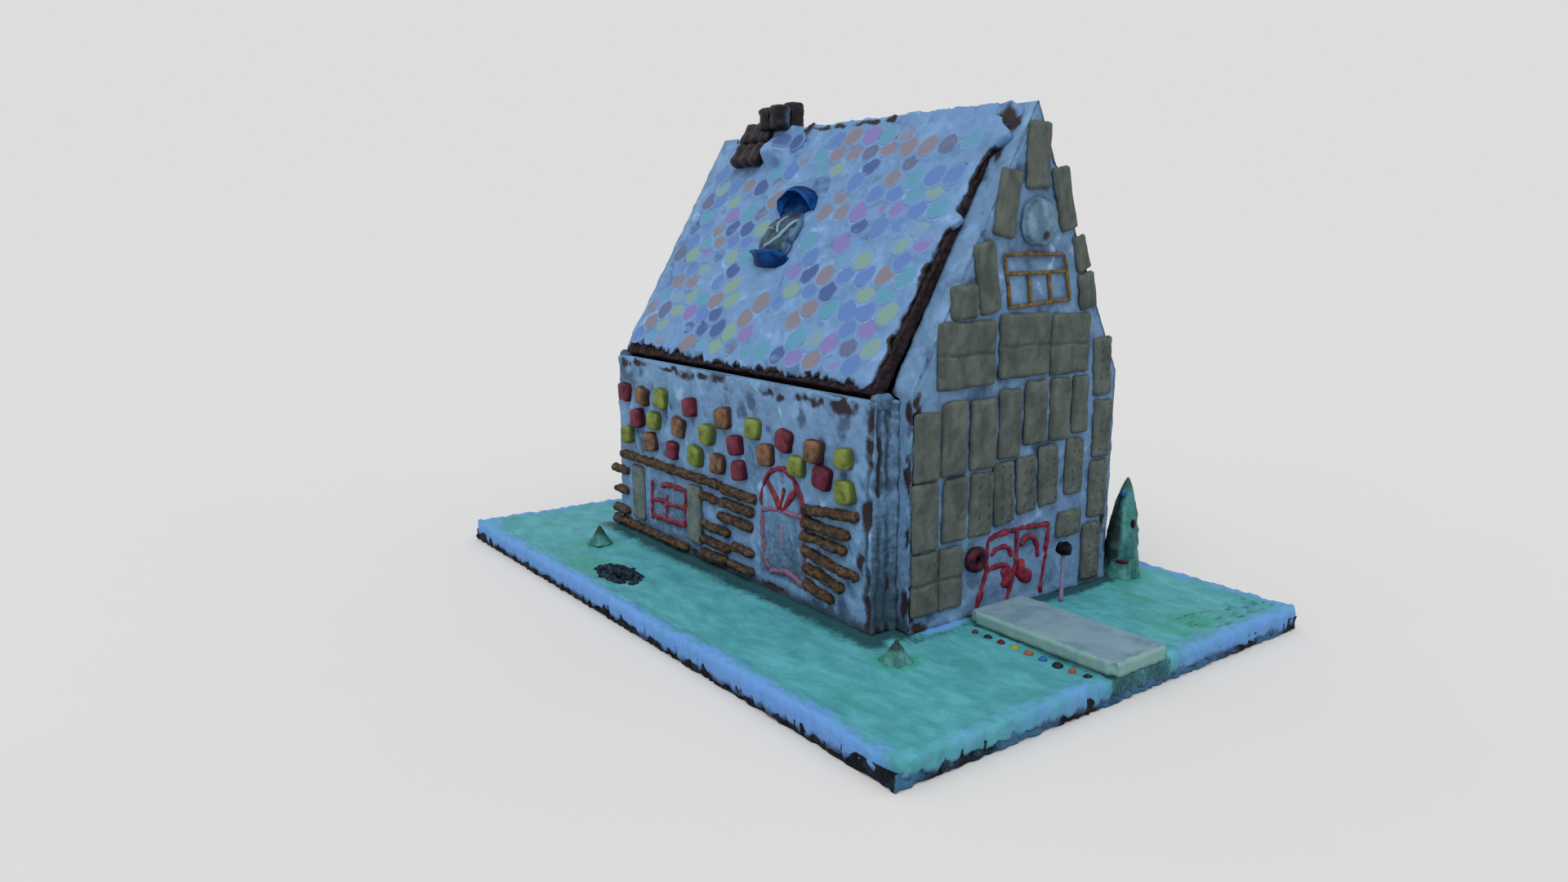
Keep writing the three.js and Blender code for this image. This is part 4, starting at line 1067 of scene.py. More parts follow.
# ---- crackers on the gables ----
SCORED = ("left_3", "second_3", "bricks_1", "bricks_2", "bricks_3")
BACK_COURSES = [
    (38, 62, 8), (104, 62, 8), (170, 62, 8), (228, 28, 3), (258, 28, 3), (306, 60, 4), (370, 60, 2),
]


def crackers():
    """The door gable's crackers, each a piece of its own, and the back gable's in courses."""
    seed = 1
    for row, plates in CRACKER_ROWS.items():
        for n, (x, z, wide, tall, lean) in enumerate(plates, 1):
            build = Build()
            plate(build, on_gable, (x, z), (wide + 0.6, tall + 0.6), lean, CRACKER_THICK - 0.9, GAP,
                  seed, f"{row}_{n}" in SCORED, 0.9 if row in ("middle", "right") else 0.15)
            dress(f"biscuit_{row}_{n}", build, [cracker], [f"cracker_{row}_{n}"])
            seed += 1
    back = Build()
    for z, tall, count in BACK_COURSES:
        rise = GABLE["apex"] - GABLE["shoulder"]
        room = min(GABLE["half"], (GABLE["apex"] - z - tall / 2) * GABLE["half"] / rise)
        pitch = 2 * room / count
        for n in range(count):
            seed += 1
            plate(back, on_back, ((n - (count - 1) / 2) * pitch, z + 2 * math.sin(n * 2.1)),
                  (pitch - 3, tall), 0, CRACKER_THICK - 0.8, 0, seed, step=2.4)
    dress("biscuits_back", back, [cracker], ["icing_back"])


DOOR_LINES = [
    [(-39, 71), (-41, 37), (-51, 6)],
    [(-38, 70), (-20, 73), (0, 74), (24, 73), (46, 71)],
    [(45, 70), (36, 4)],
    [(0, 74), (0, 40), (-12, 5)],
    [(-35, 54), (-28, 59), (-19, 60), (-10, 57), (-6, 48)],
    [(-42, 39), (-33, 42), (-23, 42), (-14, 41), (-6, 35)],
    [(6, 56), (11, 62), (17, 64), (25, 61), (29, 54), (31, 41)],
]
WREATH = [(-11.5, 30, 9, 10, 0.4), (12.5, 28, 11, 7.5, -0.6), (7, 36, 5, 6, 0)]


def front_toppings():
    """The door and its wreath, piped in red."""
    lines = Build()
    for n, path in enumerate(DOOR_LINES):
        lines.strand(on_gable, path, 5, 3.6, lift=0.4, sides=10, lumps=0.5, taper=0.4, step=1.6,
                     seed=n)
    for n, (x, z, wide, tall, turn) in enumerate(WREATH):
        lines.mound(on_gable, (x, z), (wide, tall), [(-1, 1), (1.6, 0.96), (3.4, 0.74), (4.2, 0.25)],
                    18, 2.8, turn, lumps=0.45, grain=7, seed=n)
    dress("piping_front", lines, [piped_red], ["icing_front"])


crackers()
front_toppings()


# ---- roof ----
WAFER = {"radius": 12.6, "pitch": 27, "row": 17.8, "rows": 15, "columns": 16, "first_up": 22,
         "first_along": 19, "tilt": -0.08, "top": 1.5, "sunk": 1.6}
CAP = {"reach": 19, "out": -2.2, "crown": 2.5}
CHIMNEY = {"y": 158, "square": 39, "top": 489, "seat": 3, "from": -214, "up": 244, "tier": 27}
SKYLIGHT = {"along": -50, "cup": 27, "flat": 0.75, "wall": 1.4}
BOAT = {"up": 115, "depth": 13, "lean": 0.2}
HOOD = {"up": 208, "depth": 26, "lean": 0.4}
PANE = {"along": -53, "from": 119, "to": 188, "end": 14.5, "half": 25, "shoulder": 22, "flat": 0.58}
COAT_TOP = SLOPE - 8  # the coats end under the ridge cap
# Where no wafers lie: round the chimney, the skylight and the ridge cap. Each is along from and
# to, and up from and to, on the left slope (-1) or the right one (1).
NO_WAFERS = {
    -1: [(-228, -128, CHIMNEY["up"] - 23, SLOPE), (-92, -8, 90, 225)],
    1: [(-CHIMNEY["y"] - 34, -CHIMNEY["y"] + 34, SLOPE - 60, SLOPE),
        (-ROOF["back"], -ROOF["front"], SLOPE - 18 - 2 * GAP - WAFER["radius"], SLOPE)],
}
# Bare gingerbread on the roof icing: along, up, and half the length and height.
ROOF_BARE = {
    -1: [(163, 228, 4, 3), (155, 216, 3, 2), (40, 268, 16, 4),
         (-208, 166, 3, 4), (-118, 46, 4, 3), (88, 176, 4, 2)],
    1: [(-150, 14, 14, 8), (40, 12, 12, 8)],
}
# How much bread shows below the icing at the eave, from the back to the front.
EAVE_SHOWN = ((-252, -225, -195, -100, 0, 110, 150, 182), (16, 14, 10, 5, 4, 4.5, 7, 5))
SHOWN = 0.32  # wafers drawn below this stand proud, as in the CAD
FAINT = 0.8  # and those below this still show faintly, sunk in the icing


def wafer_places(way, seed):
    """The CAD's wafers, and those under the icing, with how deep each one lies."""
    draw = seeded(seed)
    places = []
    for row, column in itertools.product(range(WAFER["rows"]), range(WAFER["columns"])):
        shift = (row % 2) * 0.5 * WAFER["pitch"]
        along = -ROOF["back"] + WAFER["first_along"] + column * WAFER["pitch"] + shift
        along = along + 4 * (next(draw) - 0.5)
        up = WAFER["first_up"] + row * WAFER["row"] + 3 * (next(draw) - 0.5)
        depth = next(draw)
        taken = any(a < along < b and c < up < d for a, b, c, d in NO_WAFERS[way])
        if along <= -ROOF["front"] - 22 and not taken and depth < FAINT:
            places.append((along, up, depth))
    return places


def wafer_crown(depth):
    return WAFER["top"] - WAFER["sunk"] * max(0, depth - SHOWN)


def eave_line(base, seed):
    """How far up the slope the icing starts, ragged above the strip of bread."""
    flat = 0 * base
    low = np.interp(base, *EAVE_SHOWN) + 3 * rough((base, flat), 24, seed)
    low = low + 2.4 * noise((base, flat), 5, seed + 1)
    low = low + 14 * unit(rough((base, flat), 13, seed + 2) - 0.3)
    return np.clip(low - 7 * unit(rough((base, flat), 19, seed + 23) - 0.1), 0.6, 26)


def rake_line(up, seed, crossing, lobe):
    """How far forward the icing reaches, and where it runs over the strip of bread."""
    rake = 3.4 * noise((up, 0 * up), 17, seed + 3) + 1.6 * noise((up, 0 * up), 5, seed + 4)
    rake = np.minimum(rake + 2.5 * (up > 185), 6.5)
    return rake + crossing * (13 - rake) + lobe * (23 - rake)


def bed_wafers(out, along, up, places, seed):
    """The icing drawn up round each wafer, and sunk beneath it."""
    wander = noise((along, up), 9, seed + 8)
    lips = noise((along, up), 7, seed + 13) + 0.3 * noise((along, up), 3, seed + 14)
    for a, b, depth in places:
        reach = np.hypot(along - a, up - b) * (1 + 0.06 * wander)
        plane = wafer_crown(depth) + WAFER["tilt"] * (up - b)
        around = near(np.maximum(reach - WAFER["radius"], 0), 4.5)
        out = out * (1 - around) + (plane - 0.1 + 0.55 * lips) * around
        inside = 1 / (1 + np.exp((reach - WAFER["radius"] * 0.86) / 0.7))
        out = out * (1 - inside) - 1.6 * inside
    return out


# From a wafer's rim to its middle: the height past its crown, and the share of full size.
WAFER_CURVE = [(-0.9, 1), (-0.4, 0.99), (-0.1, 0.95), (0, 0.9), (0, 0.82), (0.1, 0.7), (0.1, 0.55),
               (0.1, 0.4), (0.2, 0.2), (0.2, 0.05)]


def lay_wafers(way, places, seed):
    """Wafers of seven flavours, veiled by icing towards their rims and where they lie deep."""
    build = Build()
    draw = seeded(seed + 500)
    bounds = np.cumsum([weight for _, weight in FLAVOURS.values()])
    for a, b, depth in places:
        flavour = int(np.searchsorted(bounds / bounds[-1], next(draw)))
        crown = wafer_crown(depth)
        radius = WAFER["radius"] * (1.06 - 0.05 * next(draw))
        levels = [(-1.5, 0.96), *((crown + rise, share) for rise, share in WAFER_CURVE)]
        build.mound(roof_face(way), (a, b), (radius, radius), levels, 28, 2, tilt=WAFER["tilt"],
                    lumps=0.03, grain=9, seed=int(depth * 999), slot=flavour, mark="share",
                    depth=depth)
    side = SIDE_NAMES[way]
    mesh = dress(f"wafers_{side}", build, wafer_finishes, [f"roof_icing_{side}"])
    x, y, z = spots_of(mesh)
    creep = 1.9 * unit(read_mark(mesh, "share") - 0.7)
    iced = 0.05 + 0.8 * unit(read_mark(mesh, "depth") - 0.25)
    streaks = 0.45 * rough((x, y * 0.7, z), 16, 5) + 0.2 * noise((x, y, z), 4, 7)
    set_mark(mesh, "veil", creep + iced + streaks)


def roof_coat(way, seed, step):
    """The icing of one slope, with the wafers that lie in it."""
    places = wafer_places(way, seed)
    back, front = -ROOF["back"] + 1, -ROOF["front"] - 5
    s, t = np.meshgrid(np.linspace(0, 1, int((front - back) / step)),
                       np.linspace(0, 1, int(COAT_TOP / step)))
    low = eave_line(back + s * (front - back), seed)
    up = low + t * (COAT_TOP - low)
    crossing, lobe = near(up - 171, 8), near(up - 257, 12)
    rake = rake_line(up, seed, crossing, lobe)
    along = back + s * (front + rake - back)
    relief = spread_icing(along * 0.8, up, seed + 5)
    bead = near(along - back - 5, 4.5) * unit((up - 30) / 60)
    groove = near(along - back - 14.5, 3) * unit((up - 50) / 60)
    out = bed_wafers(relief + 3.4 * bead - 1.8 * groove, along, up, places, seed)
    bare = bare_mark(along, up, ROOF_BARE[way], seed + 9)
    edge = np.minimum(up - low, front + rake - along)
    streaks = (0.75 + 0.7 * noise((along, up * 0.3), 4.5, seed + 20)) * (1 - np.maximum(crossing, lobe))
    bare = unit(np.maximum(bare, near(edge, 3.2) * streaks))
    out = np.clip(out - 1.2 * bare - 1.2 * near(edge, 2.2), -3.2, 3.4)
    out = out + 3.2 * lobe * unit((along - front + 3) / 9)
    tints = worked(relief)
    # The painted highlight on the crests is stronger along the bead at the back edge.
    tints["crest"] = unit(0.85 * tints["crest"] + 0.4 * bead)
    shade = np.maximum(0.3 * near(edge, 5), 0.5 * groove)
    build = Build()
    build.sheet(roof_face(way), along, up, out, [(0.3, -2.5, 0), (-0.2, -ROOF["icing"], 0)], ragged=0.8,
                seed=seed, bare=bare, shade=shade, **tints)
    side = SIDE_NAMES[way]
    dress(f"roof_coat_{side}", build, [roof_ice], [f"roof_icing_{side}"])
    lay_wafers(way, places, seed)


def roof_bread(way):
    """The gingerbread panel of one slope, crumbly where it shows at the eave and the rake."""
    out = -ROOF["icing"] - GAP
    top = (EAVE["x"] - GAP + out * SIN) / COS
    a, b = spaced_grid((-ROOF["back"], -ROOF["front"]), (0, top - 6), 28, 1.8, 3.4)
    height = out + 1.6 * rough((a, b), 8, 51) - 1.2
    crumbs = 0.9 * noise((a, b), 3.6, 55)
    eave = near(b - 5, 8) * (0.6 + 0.4 * noise((a, b * 0.4), 7, 52))
    rake = near(-ROOF["front"] - 3 - a, 5) * (0.55 + 0.45 * noise((b, a * 0.4), 7, 53))
    height = height + (4.0 + crumbs) * np.maximum(eave, rake)
    build = Build()
    build.sheet(roof_face(way), a, b, height,
                [(0.3, out - 0.5, 1), (0, out - 3, 0.8), (0.3, out - 6, 0.6), (0.3, out - 9, 0.4),
                 (1.5, out - BREAD, 0)], ragged=1.3, seed=54)
    side = SIDE_NAMES[way]
    dress(f"roof_bread_{side}", build, [gingerbread], [f"roof_{side}"])


def ridge_cap():
    """A rounded cap of icing along the ridge."""
    ys = np.arange(ROOF["front"] - 16, ROOF["back"] - 0.9, 2.0)
    slope_up = SLOPE - CAP["reach"]
    edge_x = EAVE["x"] - slope_up * COS + CAP["out"] * SIN
    edge_z = EAVE["z"] + slope_up * SIN + CAP["out"] * COS
    share = np.linspace(-1, 1, 25)
    y, share = np.meshgrid(ys, share, indexing="ij")
    x = share * edge_x
    z = edge_z + (RIDGE_Z + CAP["crown"] - edge_z) * (1 - np.abs(share) ** 1.25)
    relief = 1.7 * rough((x, y), 11, 31) + 0.7 * noise((x, y), 4, 32)
    z = np.minimum(z + relief * (1 - share ** 4) + 0.6, RIDGE_Z + CAP["crown"] + 2.4)
    crumbs = near(y - 112, 20) * unit(0.5 + 0.9 * noise((x, y), 7, 35)) * (1 - share ** 2)
    z = z + 3.4 * crumbs + 3 * near(y - CHIMNEY["y"] + 6, 34) * (1 - share ** 2)
    z = z - 13 * near(y - ROOF["back"], 13) * (1 - 0.4 * share ** 2)
    # The cap is worn through in a line along the ridge, in a heap of crumbs and at the front.
    line = unit(0.85 - np.abs(x + 2.5) / 2.2 + 0.9 * noise((x, y), 9, 33))
    bare = np.maximum(line * (noise((y, 0 * y), 50, 34) > -0.1), 1.4 * crumbs)
    patch = oval(y + 183, x + 8, 15, 7) * (1 + 0.6 * noise((x, y), 6, 36))
    bare = unit(np.maximum(bare, patch))
    taper = np.clip((y - ys[0] + 2) / 14, 0.2, 1)
    x = x * taper
    z = z - 9 * (1 - taper) * (1 - share ** 2)
    under_x = np.array([edge_x - 1, 3, -3, 1 - edge_x]) * taper[:, :4]
    under_z = np.broadcast_to([edge_z - 3, RIDGE_Z - 14, RIDGE_Z - 14, edge_z - 3], (len(ys), 4))
    rings = on_ground(np.hstack([x, under_x]), np.hstack([y, y[:, :4]]), np.hstack([z, under_z]))
    build = Build()
    build.loft(rings, **closed_behind(bare=bare, **worked(relief * 0.8)))
    dress("ridge_icing", build, [roof_ice], ["roof_icing_left"])


roof_coat(-1, 41, 1.6)
roof_coat(1, 97, 2.0)
roof_bread(-1)
roof_bread(1)
ridge_cap()


# ---- chimney ----
STICK = {"wide": 17.5, "thick": 14}


def chimney():
    """Four upright sticks of chocolate on the ridge, and six that lie on the slope."""
    sticks = Build()
    quarter = CHIMNEY["square"] / 4
    for i, j in itertools.product((-1, 1), repeat=2):
        bottom = RIDGE_Z + CHIMNEY["seat"] if i < 0 else RIDGE_Z - CHIMNEY["square"] * 0.55
        top = CHIMNEY["top"] - 4 * (i < 0) - 1.5 * (j > 0)

        def upright(a, b, out, i=i):
            return on_ground(i * quarter + out, CHIMNEY["y"] + a, b)
        sticks.strand(upright, [(j * quarter, bottom), (j * quarter, top)], 2 * quarter + 0.4,
                      2 * quarter + 0.4, sides=20, power=3.6, lumps=0.14, taper=0.8, seed=i + 2 * j)
    face = roof_face(-1)
    for tier, n in itertools.product(range(2), range(3)):
        along = CHIMNEY["from"] + (n + 0.5) * STICK["wide"]
        start = CHIMNEY["up"] + tier * CHIMNEY["tier"]
        sticks.strand(face, [(along, start), (along, start + CHIMNEY["tier"] + 0.4)],
                      STICK["wide"] + 0.4, STICK["thick"], lift=STICK["thick"] / 2 + GAP + 1.2 * tier,
                      sides=18, power=2.8, lumps=0.16, taper=0.68, seed=10 + n + 3 * tier)
    mesh = dress("chimney_sticks", sticks, [chocolate], ["chimney"])
    x, y, z = spots_of(mesh)
    front = CHIMNEY["y"] - CHIMNEY["square"] / 2
    streak = oval(x - HOUSE_X + 3, z - GROUND - 472, 5, 14) * near(y - front, 6)
    set_mark(mesh, "iced", 0.9 * streak + 0.35 * noise((x, y, z), 8, 9) - 0.05)
    joints = near(x - HOUSE_X, 1.2) + near(y - CHIMNEY["y"], 1.2)
    set_mark(mesh, "shade", joints * (z > GROUND + RIDGE_Z + 6))


SEAT = {"along": (-194, -98), "up": 216, "most": 17.5}


def seat_rise(along, up):
    """How far the icing under the stack stands out of the left slope, to make it level.

    It fades before the stack, below it, and behind it where the lying sticks end.
    """
    level = np.minimum(CHIMNEY["seat"] * COS + (SLOPE - up) * COS * SIN, SEAT["most"])
    stack_front = CHIMNEY["square"] / 2 - CHIMNEY["y"]
    before = np.maximum(along - stack_front, 0) / 15
    below = np.maximum(SLOPE - CHIMNEY["square"] / 2 / COS - up, 0) / 12
    sticks_end = CHIMNEY["from"] + 3 * STICK["wide"] + 1
    start = np.interp(up, (CHIMNEY["up"], CHIMNEY["up"] + 24), (sticks_end + 14, sticks_end + 1))
    behind = np.maximum(start - along, 0) / np.interp(up, (236, 264), (11, 3))
    return (level + 3) * near(np.sqrt(before ** 2 + below ** 2 + behind ** 2), 1) - 3


def chimney_seat():
    """Icing heaped from the slope up to the foot of the stack, with wafers set in it."""
    face = roof_face(-1)
    along, up = np.meshgrid(np.arange(*SEAT["along"], 1.6), np.arange(SEAT["up"], SLOPE - 1, 1.6))
    rise = seat_rise(along, up)
    relief = spread_icing(along * 0.8, up, 71) * unit((rise + 3) / 6)
    heap = Build()
    heap.sheet(face, along, up, rise + 0.8 * relief, [(0, -4, 0)], **worked(relief), bare=0, shade=0)

    def round_stack(x, y, out):
        return on_ground(x, y, RIDGE_Z + out)
    levels = [(-40, 1.2), (-26, 1.14), (-12, 1.06), (-4, 1), (0, 0.94), (2, 0.85), (2.7, 0.7), (2.8, 0.3)]
    heap.mound(round_stack, (6, CHIMNEY["y"]), (15, 20), levels, 48, 3.2, lumps=0.14, grain=11, seed=5)
    dress("chimney_seat", heap, [roof_ice], ["roof_icing_left"])
    wafers = Build()

    def on_seat(a, b, out):
        return face(a, b, np.maximum(seat_rise(a, b), 1.8) + out)
    for n, place in enumerate([(-135, 274), (-113, 273)]):
        levels = [(-2, 0.96), (0.6, 1), (1.1, 0.96), (1.3, 0.8), (1.3, 0.5), (1.3, 0.2)]
        wafers.mound(on_seat, place, (12, 12), levels, 28, 2, seed=n, mark="share")
    navy = wafer_finishes[list(FLAVOURS).index("navy")]
    mesh = dress("wafers_seat", wafers, [navy], ["roof_icing_left"])
    set_mark(mesh, "veil", 0.2 + 1.7 * unit(read_mark(mesh, "share") - 0.7))


# ---- skylight ----
def half_cup(name, node, spec, way, cut_at, flare, seed):
    """Half of a foil cup that lies on the roof. Its mouth leans back and flares on the left."""
    angle = np.linspace(0, math.pi, 41)
    turns = np.stack([np.cos(angle), np.sin(angle)]) * 3
    back = 1 - spec["lean"] * np.sin(angle) * (1 + 0.35 * near(angle - cut_at, 0.6))
    rings = []
    marks = {"deep": [], "rim": []}
    for share in np.linspace(0, 1, 19):
        size = SKYLIGHT["cup"] * (0.42 + 0.58 * math.sin(share * math.pi / 2) ** 0.7)
        pleats = 1 + 0.05 * share * noise((angle * 9, 0 * angle + share * 2), 1, seed)
        pulled = share ** 3 * near(angle - 0.72, 0.4)
        tail = share ** 2 * near(angle - 0.1, 0.45)
        b = spec["up"] + way * (spec["depth"] * share * back + 0.45 * flare * tail)
        b = b + way * 2.2 * share * noise(turns, 1, seed + 4)
        outer_a = -np.cos(angle) * size * pleats - flare * pulled + 0.3 * flare * tail
        outer_out = np.sin(angle) * size * SKYLIGHT["flat"] * pleats + 0.4 - 2 * pulled
        outer_out = outer_out * (1 - 0.45 * share ** 2 * near(angle - 0.35, 0.55))
        thin = (size - SKYLIGHT["wall"]) / size * min(1, share / 0.12)
        inner_a = (outer_a * thin)[::-1]
        inner_out = np.maximum(outer_out * thin - 0.2, 0.35)[::-1]
        a = np.concatenate([outer_a, inner_a])
        out = np.concatenate([outer_out, inner_out])
        rings.append(roof_face(-1)(SKYLIGHT["along"] + a, np.concatenate([b, b[::-1]]), out))
        # Painted highlight on the foil towards the mouth, painted light on the inner left wall, painted
        # shade deep inside on the right.
        bright = unit((share - 0.4) * 1.7) * (0.75 + 0.4 * noise(turns, 1, seed))
        marks["rim"] += [*bright, *(0.6 * near(angle - 0.7, 0.9)[::-1])]
        marks["deep"] += [*(0 * angle), *(near(angle - 2.1, 0.5)[::-1] * (share < 0.85))]
    build = Build()
    build.loft(rings, **{key: np.array(values) for key, values in marks.items()})
    # The cup's base, with a little painted highlight.
    middle = SKYLIGHT["along"] - 4, spec["up"] + way * spec["depth"] * 0.56
    levels = [(0.35, 1), (1.6, 0.98), (2.4, 0.85), (2.4, 0.4)]
    build.mound(roof_face(-1), middle, (SKYLIGHT["cup"], spec["depth"] * 0.54), levels, 32, 2.6,
                lumps=0.1, seed=seed, rim=0.35)
    dress(name, build, [wrapper], [node])


def pane():
    """The clear sweet between the cups, with folds of its wrapper."""
    low, high = PANE["from"], PANE["to"] - 6
    middle = (low + high) / 2
    face = roof_face(-1)
    up, angle = np.meshgrid(np.linspace(low, high, 50), np.linspace(0, math.pi, 41), indexing="ij")

    def half_at(up):
        from_end = np.minimum(up - low, high - up)
        share = unit(from_end / PANE["shoulder"])
        return PANE["end"] + (PANE["half"] - PANE["end"]) * np.sin(share * math.pi / 2)
    size = half_at(up) * (1 + 0.07 * noise((angle * 5, up / 9), 1, 61))
    sag = 1 - 0.72 * near(up - high, 15)
    a = -np.cos(angle) * size
    out = np.sin(angle) ** 0.8 * size * PANE["flat"] * (1 + 0.16 * noise((a, up), 9, 62)) * sag + 0.4
    marks = {
        "bit": oval(a - 1, up - middle - 1, 11, 4.5),
        "dusk": 0.75 * oval(a + 15, up - middle - 13, 8, 18),
        "mauve": 0.9 * oval(a - 14, up - high + 14, 8, 13),
        "iced": unit(np.abs(a) / size * 3 - 2.3 + 0.5 * noise((a, up), 6, 63)),
    }
    build = Build()
    build.loft(face(PANE["along"] + a, up, out), **{k: v.ravel() for k, v in marks.items()})
    folds = [
        ([(20, 22), (18, 13), (16, 4), (13, -6), (5, -15), (-4, -19)], 3.2),
        ([(1, 24), (1, 17), (3, 8), (9, -2)], 2.4), ([(-10, 3), (-3, 4), (4, 1)], 2.2),
    ]

    def on_pane(a, b, out):
        half = half_at(middle + b)
        inside = unit(1 - (a / half) ** 2) ** 0.4 * (1 - 0.72 * near(middle + b - high, 15))
        return face(PANE["along"] + a, middle + b, half * PANE["flat"] * inside + out)
    for n, (path, wide) in enumerate(folds):
        build.strand(on_pane, path, wide, 3.0, lift=0.4, sides=8, lumps=0.3, taper=0.2, step=1.4,
                     seed=n, fold=0.9)
    dress("skylight_sweet", build, [clear], ["skylight_pane"])


chimney()
chimney_seat()
half_cup("skylight_low_cup", "skylight_boat", BOAT, 1, 1.6, 16, 1)
half_cup("skylight_high_cup", "skylight_hood", HOOD, -1, 1.9, 11, 2)
pane()


# ---- small pieces of the door gable ----
ROUND = (9.6, 354)


def round_sweet():
    """A domed white sweet, with painted shade for a hole near its foot and in a ring round its side."""
    build = Build()
    levels = [(GAP, 0.9), (2, 0.99), (3.5, 1), (5, 0.98), (6.5, 0.93), (8.6, 0.82), (9.5, 0.72),
              (10, 0.62), (10.4, 0.5), (10.8, 0.36), (10.8, 0.22), (11, 0.1)]
    build.mound(on_gable, ROUND, (22, 22), levels, 40, 2.2, lumps=0.1, grain=12, seed=3)
    mesh = dress("round_sweet_dome", build, [white_sweet], ["round_sweet"])
    x, y, z = spots_of(mesh)
    # Painted shade in a spot for the hole, which is not cut, and in a ring round the dome's side.
    hole = np.hypot(x - HOUSE_X - ROUND[0] - 1, z - GROUND - ROUND[1] + 12)
    set_mark(mesh, "shade", near(hole, 4.5) + 0.5 * near(y + 6 - GABLE["front"], 3))


LATTICE_BARS = [
    [(-33, 325), (-28, 302), (-23, 279)], [(-34, 325), (6, 326), (46, 325)],
    [(-32, 309), (8, 309), (49, 310)], [(-25, 279), (16, 282), (59, 284)], [(-1, 309), (4, 281)],
    [(26, 310), (31, 283)], [(47, 325), (57, 284)],
]


def lattice():
    """The gable window's gold bars."""
    build = Build()
    for n, path in enumerate(LATTICE_BARS):
        build.strand(on_gable, path, 3.8, 3.2, lift=2.3, sides=10, lumps=0.3, taper=0.4, seed=n)
    dress("lattice", build, [lattice_finish], ["window_lattice"])


RING = {"x": -58.5, "z": 56, "radius": 8, "tube": 4.5, "out": 4.6}


def ring():
    """A lumpy red ring beside the door."""
    build = Build()
    turns = np.linspace(0, 2 * math.pi, 33)[:-1]
    section = np.linspace(0, 2 * math.pi, 15)[:-1]
    points = []
    for turn in turns:
        around = np.cos(section) * 3, np.sin(section) * 3, 0 * section + turn * 3
        tube = RING["tube"] * (1 + 0.12 * noise(around, 1.5, 9))
        reach = RING["radius"] + tube * np.cos(section)
        points.append(on_gable(RING["x"] + reach * math.cos(turn), RING["z"] + reach * math.sin(turn),
                               RING["out"] + GAP + tube * np.sin(section)))
    sides = len(section)
    faces = []
    for n, m in itertools.product(range(len(turns)), range(sides)):
        after, over = (n + 1) % len(turns), (m + 1) % sides
        faces.append((n * sides + m, n * sides + over, after * sides + over, after * sides + m))
    build.add(np.concatenate(points), faces)
    dress("ring_sweet", build, [dark_red], ["red_ring"])


def lamp():
    """A black sweet on a stick."""
    build = Build()
    x, y, radius = LAMP["x"], LAMP["y"], LAMP["radius"]
    post = [(GAP, 1.1), (6, 0.9), (20, 0.8), (34, 0.88), (LAMP["height"] - 9, 0.8)]
    build.mound(on_ground, (x, y), (radius, radius), post, 12, 2, lumps=0.1, slot=1)
    head = LAMP["height"] - LAMP["head"]
    levels = [(head, 0.55), (head + 1.5, 0.95), (head + 5, 1), (head + 9, 0.88), (head + 12, 0.55),
              (head + 12.8, 0.15)]
    build.mound(on_ground, (x, y), (7.4, 7.4), levels, 20, 2.3, lumps=0.12, grain=6, seed=2)
    dress("lamp_sweet", build, [black_sweet, lamp_post], ["lamp"])


round_sweet()
lattice()
ring()
lamp()


# ---- path, tree, shrubs and coal ----
def path_slab():
    """A long biscuit with soft edges and cut corners."""
    (x0, x1), (y0, y1) = PATH["x"], PATH["y"]
    x, y = spaced_grid(PATH["x"], PATH["y"], 8, 1.2, 3)
    edge = np.minimum(np.minimum(x - x0, x1 - x), np.minimum(y - y0, y1 - y))
    soft = np.sqrt(1 - (1 - unit(edge / 3.5)) ** 2)
    height = PATH["thick"] - 2.6 + 2.3 * soft + 0.35 * rough((x, y), 26, 71)
    from_x, from_y = x - (x0 + x1) / 2, y - (y0 + y1) / 2
    corner = unit(np.abs(from_x) * 2 / (x1 - x0) + np.abs(from_y) * 2 / (y1 - y0) - 1.9)
    x = x - np.sign(from_x) * corner * 38
    y = y - np.sign(from_y) * corner * 38
    build = Build()
    # Painted light reflected from the lawn, on the edges and the sides.
    lawn_light_on_edges = 0.75 * near(edge, 3.2) + 0.35 * noise((x, y), 5, 73) * near(edge, 5)
    build.sheet(on_ground, x, y, height, [(0, 8.5, 0.4), (0.3, 6, 0.6), (0.2, 3.5, 0.4), (0.8, GAP, 0)],
                ragged=0.8, seed=72, baked=unit(lawn_light_on_edges))
    dress("path_biscuit", build, [path_finish], ["path"])


def cone(name, node, spec, sides, rings, lumps):
    """A cone of icing with a lumpy side and a flared foot; the tree has painted shade on its side towards
    the house.
    """
    height = spec["height"]
    up, angle = np.meshgrid(np.linspace(0, 1, rings), np.linspace(0, 2 * math.pi, sides, endpoint=False),
                            indexing="ij")
    tall = height > 50
    reach = spec["radius"] * (1 - up ** spec["bulge"]) ** spec["blunt"] * (1 - 0.16 * up * tall) + 0.3
    around = (np.cos(angle) * 12, np.sin(angle) * 12, up * height * 0.6)
    swell = lumps * (rough(around, 8, 77) + 0.5 * noise(around, 3, 78)) + 0.12 * np.exp(-14 * up)
    reach = reach * (1 + swell * np.minimum(1, (1 - up) * 4))
    middle_x = spec["x"] + 5 * tall * up ** 1.5
    points = on_ground(middle_x + reach * np.cos(angle), spec["y"] + reach * np.sin(angle),
                       GAP + up * (height - GAP))
    # Painted shade on the tree's side that faces the corner of the house.
    house_side_shade = near(angle - 2.75, 0.8) * near(up - 0.4, 0.45) * (1.3 + 0.9 * noise(around, 5, 79))
    build = Build()
    build.loft(points, tip=(unit((up - 0.8) * 6) * tall).ravel(),
               brown=(house_side_shade if tall else np.clip(up * 1.6 - 0.4, 0, 0.65)).ravel())
    dress(name, build, [tree_finish], [node])


